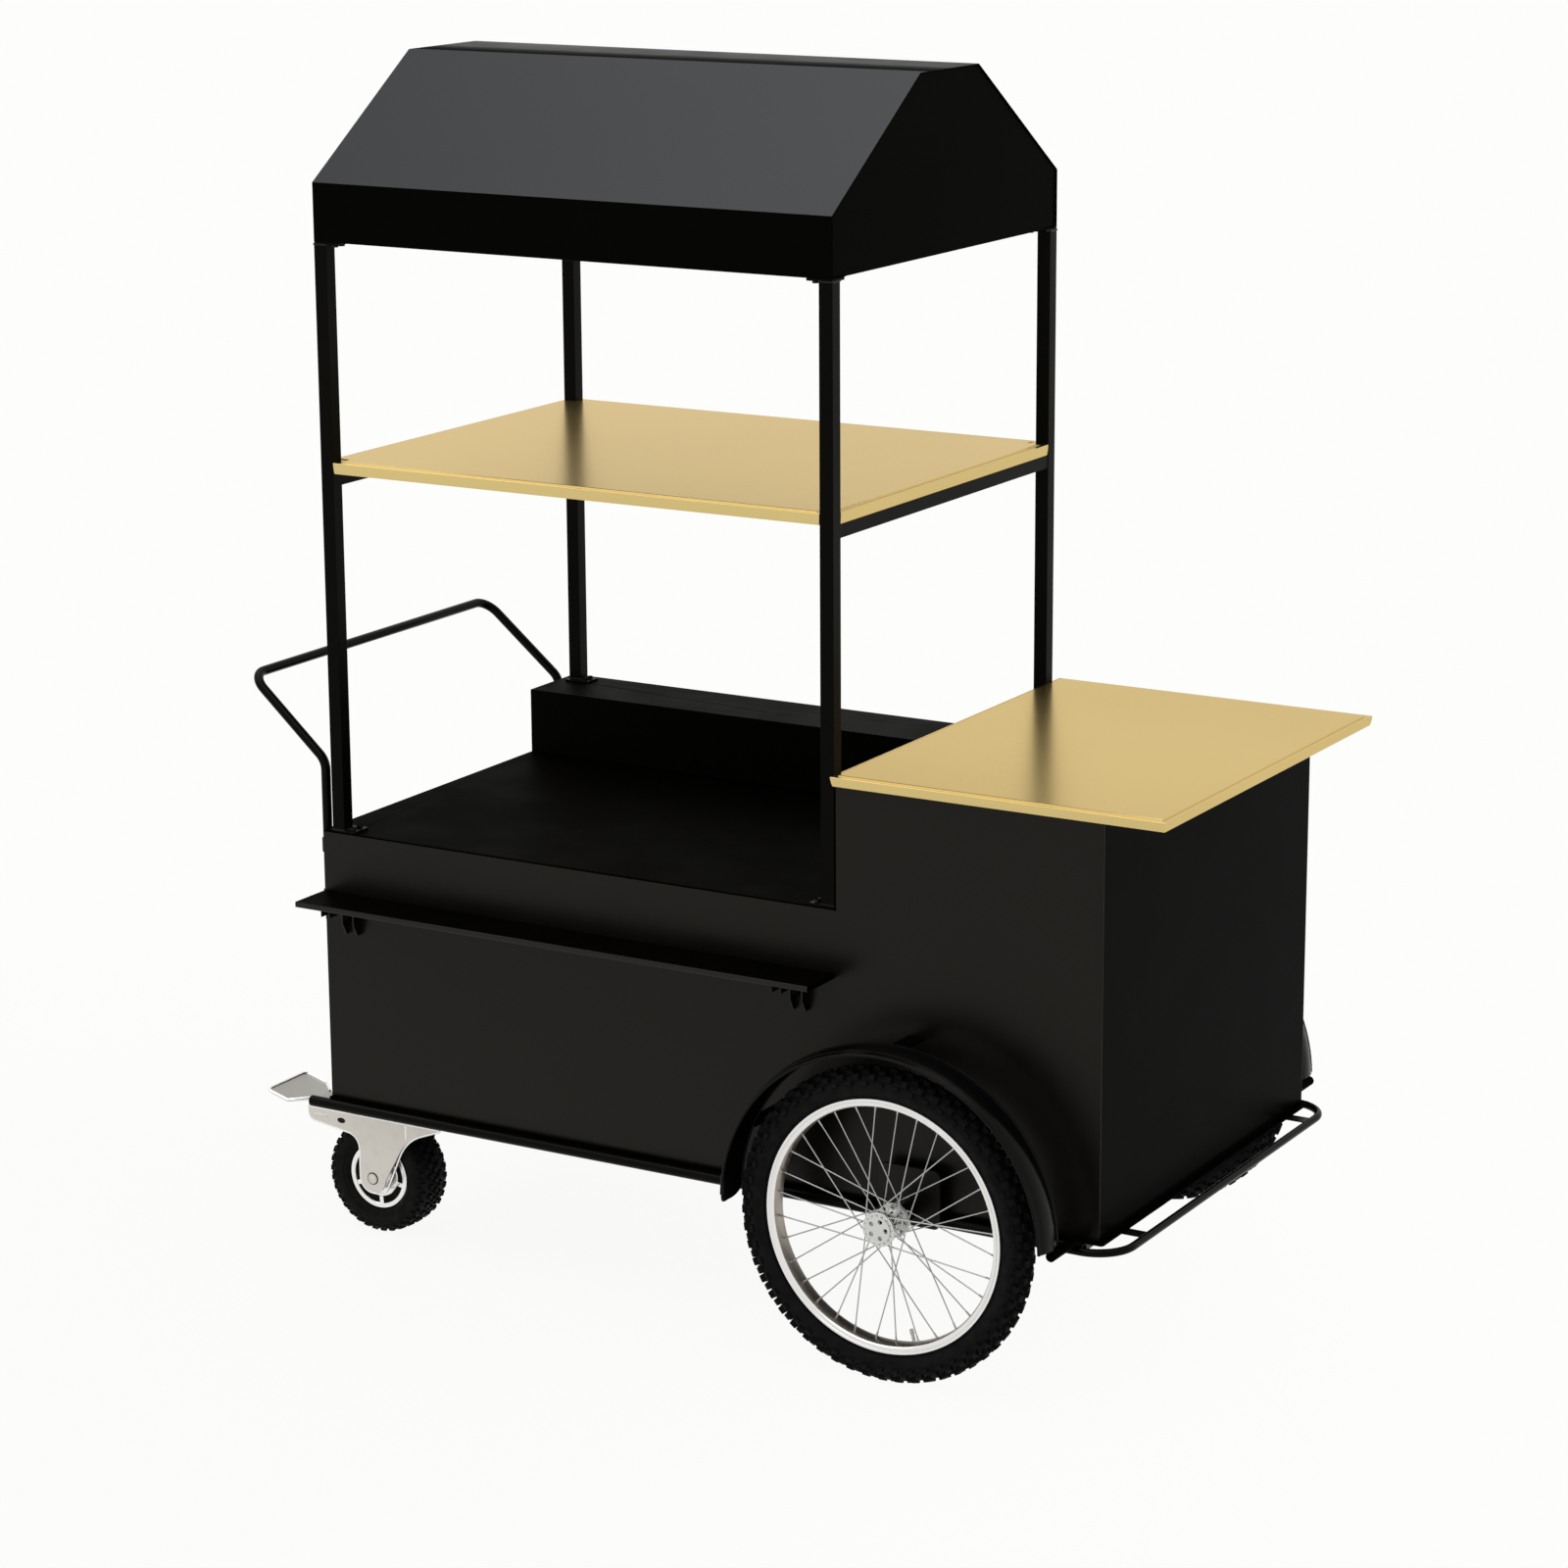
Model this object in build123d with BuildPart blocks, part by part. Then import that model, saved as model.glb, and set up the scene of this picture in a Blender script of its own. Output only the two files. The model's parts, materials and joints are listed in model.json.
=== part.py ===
"""Vending cart: a two-level sheet-steel cabinet on a tube chassis, with a roof on four posts.

Millimetres. x runs from the push handle to the bumper, y from the serving side to the back,
z up from the floor.
The origin lies on the floor, under the middle of the whole cart.
"""

import os
from math import cos, hypot, radians, sin

from build123d import *

os.makedirs("parts", exist_ok=True)

# Cabinet
cabinet_length = 1456.0
cabinet_depth = 770.0
sheet = 2.0
fold_r = 1.5
base_z = 256.0
base_sheet = 3.0
base_flange = 11.0
deck_z = 724.0
deck_sheet = 3.0
ledge_z = 838.0
ledge_depth = 142.0
angle_leg = 25.0
beam_width = 40.0
beam_height = 25.0

# Gold counter on the high box
counter_z = 942.0
counter_lip = 18.0
counter_front = 13.0
counter_back = 2.0
counter_overhang = 107.0
counter_gap = 0.5

# Posts, middle shelf and roof
post_inset = 20.0
bay_length = 967.0
bay_depth = 749.0
post_side = 24.0
post_wall = 2.0
plate_long = 46.0
plate_short = 38.0
plate_sheet = 4.0
bolt_d = 6.0
bolt_flats = 10.0
bolt_head = 4.0
bolt_inset = 10.0
shelf_z = 1352.0
shelf_lip = 20.0
shelf_notch_gap = 0.5
rail_side = 22.0
roof_z = 1711.0
fascia_height = 96.0
ridge_z = 2000.0
ridge_flat = 193.0
roof_lip = 42.0
gable_inset = 3.0

# Push handle
handle_d = 16.0
handle_wall = 1.5
handle_reach = 166.0
handle_standoff = 13.0
handle_leg_inset = 30.0
handle_bar_inset = 36.0
handle_foot_z = 560.0
handle_bend_z = 835.0
handle_bar_z = 965.0
handle_bend_r = 34.0
clamp_height = 24.0
clamp_skin = 2.0
clamp_levels = (600.0, 690.0)

# Side tubes, bumper and cross rails
tube_d = 19.0
tube_wall = 2.0
tube_overrun = 35.0
bumper_d = 13.0
bumper_reach = 41.0
bumper_drop = 1.5
bumper_leg = 120.0
bumper_bend_r = 62.0
tab_width = 26.0
tab_inset = 72.0
cross_width = 40.0
cross_wall = 2.0
cross_stations = (40.0, 120.0, 1135.0, 1410.0)

# Spoked wheels
wheel_station = 1135.0
wheel_out = 97.0
wheel_r = 258.0
tyre_section_r = 24.5
tyre_wall = 5.0
knob_height = 4.0
knob_count = 44
knob_row = 10.0
knob_gap = 4.0
rim_r = 208.0
rim_half = 16.0
rim_wall = 3.0
bead_depth = 7.0
rim_inner_r = 190.0
rim_inner_half = 7.0
hub_half = 29.0
hub_shell_r = 17.0
hub_end_r = 22.0
flange_r = 28.0
flange_in = 20.0
flange_width = 7.0
flange_hole_d = 7.0
flange_hole_ring = 22.5
flange_holes = 8
cap_wall = 4.0
cap_hole_d = 7.5
cap_hole_ring = 14.0
cap_hole_depth = 7.0
axle_r = 8.0
axle_collar_r = 14.0
bearing_length = 12.0
running_gap = 0.05
end_gap = 0.4
spoke_d = 2.2
spokes_per_flange = 16
spoke_lean = 45.0
spoke_clear = 1.2
nut_flats = 18.0
nut_recess_r = 12.0
nut_height = 6.0
bracket_width = 110.0
bracket_sheet = 6.0
bracket_top = 330.0
standoff_r = 11.0
standoff_rise = 48.0
standoff_spread = 38.0

# Fenders
fender_gap = 31.0
fender_width = 62.0
fender_crown = 8.0
fender_sheet = 2.0
fender_bead_r = 2.5
fender_arc = 176.0
strap_width = 30.0
strap_sheet = 3.0
strap_gap = 0.2
strap_turns = (-64.0, 0.0)
peg_past = 8.0
peg_r = 8.0
peg_back = 15.0

# Casters
caster_station = 80.0
caster_inset = 88.0
caster_trail = 30.0
caster_r = 101.5
caster_tyre_width = 80.0
caster_tyre_wall = 7.0
caster_knob = 5.0
caster_shoulder = 3.5
caster_knobs = 30
caster_rim_r = 58.0
caster_rim_half = 30.0
caster_rim_wall = 4.0
caster_web = 6.0
caster_hub_r = 20.0
caster_window_ring = 43.0
caster_window_width = 11.0
caster_window_arc = 47.0
caster_windows = 5
caster_axle_r = 6.0
fork_sheet = 4.0
fork_gap = 3.0
crown_gap = 5.0
fork_wing = 161.0
fork_wing_drop = 24.0
fork_wing_slope = 14.0
fork_wing_corner = 14.0
fork_horn = 112.0
fork_horn_drop = 3.0
fork_front = 42.0
fork_front_drop = 30.0
fork_tip_r = 26.0
fork_fillet = 26.0
fork_horn_fillet = 80.0
apron_drop = 17.0
race_r = 35.0
race_gap = 0.4
kingpin_r = 8.0
kingpin_head_r = 12.0
kingpin_head = 4.0
caster_plate_side = 110.0
caster_plate = 6.0
caster_bolt_spread = 40.0
pedal_pivot_back = 93.0
pedal_pivot_drop = 16.0
pedal_pin_r = 4.0
pedal_boss_r = 8.0
pedal_sheet = 3.5
pedal_neck = 40.0
pedal_neck_end = 165.0
pedal_flare_end = 200.0
pedal_tip = 243.0
pedal_width = 110.0
pedal_under = 4.0
pedal_slope = 12.0
shoe_arm = 30.0
shoe_gap = 9.0
shoe_width = 34.0
shoe_thick = 10.0

# Fold-down shelf on the serving side
leaf_z = 619.0
leaf_depth = 84.0
leaf_lip = 9.0
leaf_gap = 1.0
bracket_inset = 59.0
arm_width = 18.0
arm_wall = 2.0
arm_gap = 1.0
leg_gap = 0.5
leg_wall = 3.0
leg_height = 66.0
leg_depth = 20.0
pivot_out = 11.0
pivot_drop = 13.0
pivot_r = 3.0
pivot_side_r = 7.0
leg_rise = 5.0
brace_drop = 26.0
brace_length = 42.0
brace_half = 4.2
brace_thick = 5.0
brace_pin_r = 2.5
pin_slot = 9.0
pin_slot_rise = 3.5

# Storage doors in the back
door_left = 50.0
door_right = 790.0
door_bottom = 300.0
door_top = 660.0
door_gap = 3.0
door_pan = 14.0
door_sheet = 2.0
hinge_r = 5.0
hinge_pin_r = 2.5
hinge_knuckle = 22.0
hinge_play = 0.5
hinge_out = 6.0
hinge_inset = 70.0
hinge_leaf = 28.0
hinge_sheet = 2.0
pull_span = 110.0
pull_d = 9.0
pull_out = 28.0
pull_bend_r = 12.0
pull_inset = 32.0

# Places that follow from the sizes above
x_left = -(cabinet_length + counter_overhang - handle_reach - handle_d / 2) / 2
x_right = x_left + cabinet_length
y_front = -cabinet_depth / 2
y_back = cabinet_depth / 2
tube_r = tube_d / 2
base_under = base_z - base_sheet
tube_z = base_under - tube_r
chassis_z = base_under - tube_d
bay_left = x_left + post_inset
bay_right = bay_left + bay_length
bay_back = y_front + bay_depth
counter_left = bay_right + counter_gap
step_x = counter_left + sheet + counter_gap
ledge_y = y_back - ledge_depth
box_top = counter_z - sheet
wheel_x = x_left + wheel_station
post_x = (bay_left, bay_right - post_side)
post_y = (y_front, bay_back - post_side)


def keep(name, part):
    """Label one piece and write it."""
    part.label = name
    export_step(part, f"parts/{name}.step")


def block(x0, x1, y0, y1, z0, z1, mode=Mode.ADD):
    """A box between two corners, in the open builder."""
    with Locations(((x0 + x1) / 2, (y0 + y1) / 2, (z0 + z1) / 2)):
        Box(x1 - x0, y1 - y0, z1 - z0, mode=mode)


def bar(start, end, radius, mode=Mode.ADD):
    """A round bar between two points, in the open builder."""
    axis = Vector(*end) - Vector(*start)
    with Locations(Plane(origin=start, z_dir=axis)):
        Cylinder(radius, axis.length, align=(Align.CENTER, Align.CENTER, Align.MIN), mode=mode)


def tray(x0, x1, y0, y1, top, lip):
    """A folded sheet with its edges turned down."""
    with BuildPart() as folded:
        block(x0, x1, y0, y1, top - lip, top)
        fillet(folded.edges().group_by(Axis.Z)[-1], fold_r)
        block(x0 + sheet, x1 - sheet, y0 + sheet, y1 - sheet, top - lip, top - sheet, Mode.SUBTRACT)
    return folded.part


def bent_tube(points, radius, wall, bend):
    """A round tube with a bend at every inner point."""
    with BuildPart() as tube:
        with BuildLine() as route:
            FilletPolyline(*points, radius=bend)
        with BuildSketch(Plane(origin=route.line @ 0, z_dir=route.line % 0)):
            Circle(radius)
            Circle(radius - wall, mode=Mode.SUBTRACT)
        sweep(path=route.line)
    return tube.part


def plate_bolts(column, row):
    """Bolt places on a post's plate, inward of the post."""
    inward = 1 if column == 0 else -1
    back = 1 if row == 0 else -1
    corner_x = bay_left if column == 0 else bay_right
    corner_y = y_front if row == 0 else bay_back
    across = (post_side + plate_long) / 2
    return [
        (corner_x + inward * across, corner_y + back * bolt_inset),
        (corner_x + inward * across, corner_y + back * (plate_short - bolt_inset)),
    ]


front_bolts = plate_bolts(0, 0) + plate_bolts(1, 0)
back_bolts = plate_bolts(0, 1) + plate_bolts(1, 1)

# Cabinet panels
with BuildPart() as base_plate:
    block(x_left, x_right + base_flange, y_front - base_flange, y_back + base_flange, base_under, base_z)
    fillet(base_plate.edges().filter_by(Axis.Z), base_flange / 2)
keep("base_plate", base_plate.part)

with BuildPart() as front_panel:
    with BuildSketch(Plane.XZ.offset(-y_front)):
        with BuildLine():
            Polyline(
                (x_left, base_z),
                (x_right, base_z),
                (x_right, box_top),
                (step_x, box_top),
                (step_x, deck_z - deck_sheet),
                (x_left, deck_z - deck_sheet),
                close=True,
            )
        make_face()
    extrude(amount=-sheet)
keep("front_panel", front_panel.part)

door_x0 = x_left + door_left
door_x1 = x_left + door_right
with BuildPart() as back_panel:
    with BuildSketch(Plane.XZ.offset(-y_back)):
        with BuildLine():
            Polyline(
                (x_left, base_z),
                (x_right, base_z),
                (x_right, box_top),
                (step_x, box_top),
                (step_x, ledge_z - sheet),
                (x_left, ledge_z - sheet),
                close=True,
            )
        make_face()
        with Locations(((door_x0 + door_x1) / 2, (door_bottom + door_top) / 2)):
            Rectangle(door_x1 - door_x0, door_top - door_bottom, mode=Mode.SUBTRACT)
    extrude(amount=sheet)
keep("back_panel", back_panel.part)

with BuildPart() as left_end_panel:
    with BuildSketch(Plane.YZ.offset(x_left)):
        with BuildLine():
            Polyline(
                (y_front + sheet, base_z),
                (y_back - sheet, base_z),
                (y_back - sheet, ledge_z - sheet),
                (ledge_y + sheet, ledge_z - sheet),
                (ledge_y + sheet, deck_z - deck_sheet),
                (y_front + sheet, deck_z - deck_sheet),
                close=True,
            )
        make_face()
    extrude(amount=sheet)
keep("left_end_panel", left_end_panel.part)

with BuildPart() as right_end_panel:
    block(x_right - sheet, x_right, y_front + sheet, y_back - sheet, base_z, box_top)
keep("right_end_panel", right_end_panel.part)

with BuildPart() as deck:
    block(x_left, step_x, y_front, ledge_y + sheet, deck_z - deck_sheet, deck_z)
    block(x_left + sheet, step_x, y_front, y_back - sheet, deck_z - deck_sheet, deck_z)
    with Locations([(x, y, deck_z) for x, y in front_bolts]):
        Hole(bolt_d / 2, depth=deck_sheet)
keep("deck", deck.part)

with BuildPart() as step_wall:
    block(step_x, step_x + sheet, y_front + sheet, y_back - sheet, deck_z, box_top)
keep("step_wall", step_wall.part)

with BuildPart() as ledge:
    block(x_left, step_x, ledge_y, y_back, ledge_z - sheet, ledge_z)
    block(x_left, step_x, ledge_y, ledge_y + sheet, deck_z, ledge_z)
    with Locations([(x, y, ledge_z) for x, y in back_bolts]):
        Hole(bolt_d / 2, depth=2 * sheet)
keep("ledge", ledge.part)


def corner_angle(x, y, way_x, way_y, top):
    """An upright angle in a corner of the cabinet."""
    with BuildPart() as upright:
        with BuildSketch(Plane.XY.offset(base_z)):
            with BuildLine():
                Polyline(
                    (x, y),
                    (x + way_x * angle_leg, y),
                    (x + way_x * angle_leg, y + way_y * sheet),
                    (x + way_x * sheet, y + way_y * sheet),
                    (x + way_x * sheet, y + way_y * angle_leg),
                    (x, y + way_y * angle_leg),
                    close=True,
                )
            make_face()
        extrude(amount=top - base_z)
    return upright.part


with BuildPart() as corner_angles:
    for angle_y, angle_way in ((y_front + sheet, 1), (y_back - sheet, -1)):
        add(corner_angle(x_left + sheet, angle_y, 1, angle_way, deck_z - deck_sheet))
        add(corner_angle(x_right - sheet, angle_y, -1, angle_way, box_top))
keep("corner_angles", corner_angles.part)

with BuildPart() as deck_beams:
    beam_top = deck_z - deck_sheet
    for beam_x in (bay_left + post_side, bay_right - post_side - beam_width):
        with BuildSketch(Plane.XZ.offset(-(y_front + sheet))):
            with Locations((beam_x + beam_width / 2, beam_top - beam_height / 2)):
                Rectangle(beam_width, beam_height)
            with Locations((beam_x + beam_width / 2, beam_top - beam_height / 2 - sheet)):
                Rectangle(beam_width - 2 * sheet, beam_height, mode=Mode.SUBTRACT)
        extrude(amount=-(cabinet_depth - 2 * sheet))
    with Locations([(x, y, deck_z) for x, y in front_bolts]):
        Hole(bolt_d / 2, depth=deck_sheet + beam_height)
keep("deck_beams", deck_beams.part)

counter_plate = tray(
    counter_left,
    x_right + counter_overhang,
    y_front - counter_front,
    y_back + counter_back + sheet,
    counter_z,
    counter_lip,
)
keep("counter_plate", counter_plate)


# Posts, shelf and roof
def post(column, row):
    """One square post with its foot and head plates."""
    foot = deck_z if row == 0 else ledge_z
    x, y = post_x[column], post_y[row]
    x0 = x if column == 0 else x + post_side - plate_long
    y0 = y if row == 0 else y + post_side - plate_short
    head = roof_z - plate_sheet
    with BuildPart() as column_part:
        block(x, x + post_side, y, y + post_side, foot, roof_z)
        for z in (foot, head):
            block(x0, x0 + plate_long, y0, y0 + plate_short, z, z + plate_sheet)
        wall = post_wall
        block(x + wall, x + post_side - wall, y + wall, y + post_side - wall, foot, roof_z, Mode.SUBTRACT)
        for z in (foot, head):
            with Locations([(bx, by, z + plate_sheet) for bx, by in plate_bolts(column, row)]):
                Hole(bolt_d / 2, depth=plate_sheet)
    return column_part.part


for row, row_name in enumerate(("front", "back")):
    with BuildPart() as posts:
        for column in (0, 1):
            add(post(column, row))
    keep(f"{row_name}_posts", posts.part)


def bolt(grip):
    """A hex bolt whose head's underside is at the origin, with its shank below."""
    with BuildPart() as fastener:
        with BuildSketch():
            RegularPolygon(bolt_flats / 2, 6, major_radius=False)
        extrude(amount=bolt_head)
        with BuildSketch():
            Circle(bolt_d / 2)
        extrude(amount=-grip)
    return fastener.part


with BuildPart() as post_bolts:
    foot_bolt = bolt(plate_sheet + deck_sheet + sheet)
    ledge_bolt = bolt(plate_sheet + sheet)
    head_bolt = bolt(plate_sheet + sheet).rotate(Axis.X, 180)
    for spot in front_bolts:
        add(foot_bolt.moved(Location((*spot, deck_z + plate_sheet))))
    for spot in back_bolts:
        add(ledge_bolt.moved(Location((*spot, ledge_z + plate_sheet))))
    for spot in front_bolts + back_bolts:
        add(head_bolt.moved(Location((*spot, roof_z - plate_sheet))))
keep("post_bolts", post_bolts.part)

with BuildPart() as middle_shelf:
    add(tray(bay_left, bay_right, y_front, bay_back, shelf_z, shelf_lip))
    notch = post_side + shelf_notch_gap
    for x in (bay_left, bay_right - notch):
        for y in (y_front, bay_back - notch):
            block(x, x + notch, y, y + notch, shelf_z - shelf_lip, shelf_z, Mode.SUBTRACT)
keep("middle_shelf", middle_shelf.part)

with BuildPart() as shelf_rails:
    rail_top = shelf_z - shelf_lip
    rail_inset = (post_side - rail_side) / 2
    for x in (bay_left + rail_inset, bay_right - rail_inset - rail_side):
        with BuildSketch(Plane.XZ.offset(-(y_front + post_side))):
            with Locations((x + rail_side / 2, rail_top - rail_side / 2)):
                Rectangle(rail_side, rail_side)
                Rectangle(rail_side - 2 * post_wall, rail_side - 2 * post_wall, mode=Mode.SUBTRACT)
        extrude(amount=-(bay_depth - 2 * post_side))
keep("shelf_rails", shelf_rails.part)


def roof_outline():
    """The roof's end view."""
    ridge_front = y_front + (bay_depth - ridge_flat) / 2
    eave_z = roof_z + fascia_height
    with BuildSketch() as end_view:
        with BuildLine():
            Polyline(
                (y_front, roof_z),
                (bay_back, roof_z),
                (bay_back, eave_z),
                (ridge_front + ridge_flat, ridge_z),
                (ridge_front, ridge_z),
                (y_front, eave_z),
                close=True,
            )
        make_face()
    return end_view.sketch


with BuildPart() as roof_skin:
    with BuildSketch(Plane.YZ.offset(bay_left)):
        add(roof_outline())
        offset(amount=-sheet, mode=Mode.SUBTRACT)
        with Locations(((y_front + bay_back) / 2, roof_z + sheet / 2)):
            Rectangle(bay_depth - 2 * roof_lip, sheet, mode=Mode.SUBTRACT)
    extrude(amount=bay_length)
    with Locations([(x, y, roof_z + sheet) for x, y in front_bolts + back_bolts]):
        Hole(bolt_d / 2, depth=sheet)
keep("roof_skin", roof_skin.part)

with BuildPart() as roof_gables:
    for gable_x, way in ((bay_left + gable_inset, 1), (bay_right - gable_inset, -1)):
        with BuildSketch(Plane.YZ.offset(gable_x)):
            add(roof_outline())
            offset(amount=-sheet, mode=Mode.REPLACE)
        extrude(amount=way * sheet)
        lip_x = sorted((gable_x, gable_x + way * roof_lip))
        block(*lip_x, y_front + roof_lip, bay_back - roof_lip, roof_z, roof_z + sheet)
keep("roof_gables", roof_gables.part)

# Push handle
leg_x = x_left - handle_standoff
bar_x = x_left - handle_reach
leg_y = cabinet_depth / 2 - handle_leg_inset
grip_y = cabinet_depth / 2 - handle_bar_inset
handle = bent_tube(
    [
        (leg_x, -leg_y, handle_foot_z),
        (leg_x, -leg_y, handle_bend_z),
        (bar_x, -grip_y, handle_bar_z),
        (bar_x, grip_y, handle_bar_z),
        (leg_x, leg_y, handle_bend_z),
        (leg_x, leg_y, handle_foot_z),
    ],
    handle_d / 2,
    handle_wall,
    handle_bend_r,
)
keep("handle", handle)

with BuildPart() as handle_clamps:
    for y in (-leg_y, leg_y):
        for z in clamp_levels:
            with BuildSketch(Plane.XY.offset(z - clamp_height / 2)):
                with Locations((leg_x, y)):
                    Circle(handle_d / 2 + clamp_skin)
                with Locations(((leg_x + x_left) / 2, y)):
                    Rectangle(handle_standoff, handle_d + 2 * clamp_skin)
                with Locations((leg_x, y)):
                    Circle(handle_d / 2, mode=Mode.SUBTRACT)
            extrude(amount=clamp_height)
keep("handle_clamps", handle_clamps.part)

# Chassis
with BuildPart() as side_tubes:
    for y in (y_front - tube_r, y_back + tube_r):
        with BuildSketch(Plane.YZ.offset(x_left - tube_overrun)):
            with Locations((y, tube_z)):
                Circle(tube_r)
                Circle(tube_r - tube_wall, mode=Mode.SUBTRACT)
        extrude(amount=cabinet_length + tube_overrun - bumper_bend_r + bumper_reach)
keep("side_tubes", side_tubes.part)

bumper_r = bumper_d / 2
bumper_x = x_right + bumper_reach
bumper_y = cabinet_depth / 2 + tube_d + bumper_r
bumper_z = base_under - bumper_r - bumper_drop
bumper = bent_tube(
    [
        (x_right - bumper_leg, -bumper_y, bumper_z),
        (bumper_x, -bumper_y, bumper_z),
        (bumper_x, bumper_y, bumper_z),
        (x_right - bumper_leg, bumper_y, bumper_z),
    ],
    bumper_r,
    tube_wall,
    bumper_bend_r,
)
keep("bumper", bumper)

with BuildPart() as cross_rails:
    for station in cross_stations:
        with BuildSketch(Plane.XZ.offset(-y_front)):
            with Locations((x_left + station, tube_z)):
                Rectangle(cross_width, tube_d)
                Rectangle(cross_width - 2 * cross_wall, tube_d - 2 * cross_wall, mode=Mode.SUBTRACT)
        extrude(amount=-cabinet_depth)
keep("cross_rails", cross_rails.part)

with BuildPart() as bumper_tabs:
    for y in (y_front + tab_inset, y_back - tab_inset):
        tab_y = (y - tab_width / 2, y + tab_width / 2)
        block(x_right, bumper_x, *tab_y, base_under - bumper_drop, base_under)
keep("bumper_tabs", bumper_tabs.part)

# Spoked wheels, built about z with the outer side up, then set on their axles
wheel_y = cabinet_depth / 2 + wheel_out
wheel_places = {
    name: Plane(origin=(wheel_x, side * wheel_y, wheel_r), x_dir=(1, 0, 0), z_dir=(0, side, 0))
    for name, side in (("front", -1), ("back", 1))
}
bead_r = rim_r - bead_depth

with BuildPart() as rim:
    with BuildSketch(Plane.XZ):
        with BuildLine():
            Polyline(
                (rim_inner_r, -rim_inner_half),
                (rim_inner_r + rim_inner_half, -rim_half),
                (rim_r, -rim_half),
                (rim_r, -rim_half + rim_wall),
                (bead_r, -rim_half + rim_wall),
                (bead_r, rim_half - rim_wall),
                (rim_r, rim_half - rim_wall),
                (rim_r, rim_half),
                (rim_inner_r + rim_inner_half, rim_half),
                (rim_inner_r, rim_inner_half),
                close=True,
            )
        make_face()
    revolve(axis=Axis.Z)

crown_r = wheel_r - knob_height
section_r = crown_r - tyre_section_r
bead_half = rim_half - rim_wall
with BuildPart() as tyre:
    with BuildSketch(Plane.XZ):
        with Locations((section_r, 0)):
            Circle(tyre_section_r)
        with Locations(((bead_r + section_r) / 2, 0)):
            Rectangle(section_r - bead_r, 2 * bead_half)
        with Locations((section_r, 0)):
            Circle(tyre_section_r - tyre_wall, mode=Mode.SUBTRACT)
            Rectangle(2 * (section_r - bead_r) + tyre_wall, 2 * (bead_half - tyre_wall), mode=Mode.SUBTRACT)
        with Locations((section_r + tyre_section_r - tyre_wall / 2, 0)):
            Rectangle(tyre_wall, 2 * bead_half)
    revolve(axis=Axis.Z)
    pitch = 360 / knob_count
    shoulder_r = wheel_r - 1.5 * knob_height
    for centre, outer_r, turn in (
        (0, wheel_r, 0),
        (knob_row + knob_gap, shoulder_r, pitch / 2),
        (-knob_row - knob_gap, shoulder_r, pitch / 2),
    ):
        root_r = section_r + tyre_section_r / 2
        with BuildSketch(Plane.XY.offset(centre - knob_row / 2)):
            with PolarLocations((root_r + outer_r) / 2, knob_count, start_angle=turn):
                Rectangle(outer_r - root_r, outer_r * radians(pitch) / 2)
        extrude(amount=knob_row)

recess_top = hub_half - cap_wall
bearing_out = recess_top - nut_height - 2 * end_gap
with BuildPart() as hub:
    with BuildSketch(Plane.XZ):
        with BuildLine():
            Polyline(
                (axle_r + running_gap, -hub_half),
                (hub_end_r, -hub_half),
                (hub_end_r, -flange_in - flange_width),
                (flange_r, -flange_in - flange_width),
                (flange_r, -flange_in),
                (hub_shell_r, -flange_in),
                (hub_shell_r, flange_in),
                (flange_r, flange_in),
                (flange_r, flange_in + flange_width),
                (hub_end_r, flange_in + flange_width),
                (hub_end_r, hub_half),
                (0, hub_half),
                (0, recess_top),
                (nut_recess_r, recess_top),
                (nut_recess_r, bearing_out),
                (axle_r + running_gap, bearing_out),
                (axle_r + running_gap, bearing_out - bearing_length),
                (hub_shell_r - cap_wall, bearing_out - bearing_length),
                (hub_shell_r - cap_wall, -hub_half + bearing_length),
                (axle_r + running_gap, -hub_half + bearing_length),
                close=True,
            )
        make_face()
    revolve(axis=Axis.Z)
    with Locations((0, 0, hub_half)):
        with PolarLocations(cap_hole_ring, 5):
            Hole(cap_hole_d / 2, depth=cap_hole_depth)
    with Locations((0, 0, -flange_in)):
        with PolarLocations(flange_hole_ring, flange_holes):
            Hole(flange_hole_d / 2, depth=flange_width)

spoke_low = flange_in + spoke_d / 2
spoke_high = flange_in + flange_width - spoke_d / 2
with BuildPart() as spokes:
    step = 360 / spokes_per_flange
    for side in (-1, 1):
        for k in range(spokes_per_flange):
            at = radians(step * (k + side / 4))
            lean = radians(spoke_lean if k % 2 else -spoke_lean)
            height = spoke_low if k % 2 else spoke_high
            near_r = flange_r + spoke_clear
            far_r = rim_inner_r - spoke_clear / 2
            bar(
                (near_r * cos(at), near_r * sin(at), side * height),
                (far_r * cos(at + lean), far_r * sin(at + lean), side * spoke_d),
                spoke_d / 2,
            )

for name, place in wheel_places.items():
    for piece, solid in (("rim", rim), ("tyre", tyre), ("hub", hub), ("spokes", spokes)):
        keep(f"{name}_wheel_{piece}", solid.part.moved(place.location))

# Axle brackets and stub axles, in the wheel's own directions
tube_face = tube_d - wheel_out
with BuildPart() as axle_brackets:
    for side in (-1, 1):
        plate_in = cabinet_depth / 2 + tube_d
        plate_y = sorted((side * plate_in, side * (plate_in + bracket_sheet)))
        x0, x1 = wheel_x - bracket_width / 2, wheel_x + bracket_width / 2
        with BuildPart() as bracket:
            block(x0, x1, *plate_y, chassis_z, bracket_top)
            fillet(bracket.edges().filter_by(Axis.Y), standoff_r)
            for x in (wheel_x - standoff_spread, wheel_x + standoff_spread):
                level = wheel_r + standoff_rise
                bar(
                    (x, side * cabinet_depth / 2, level),
                    (x, side * plate_in, level),
                    standoff_r,
                )
            bar((wheel_x, plate_y[0], wheel_r), (wheel_x, plate_y[1], wheel_r), axle_r, Mode.SUBTRACT)
        add(bracket.part)
keep("axle_brackets", axle_brackets.part)

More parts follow.
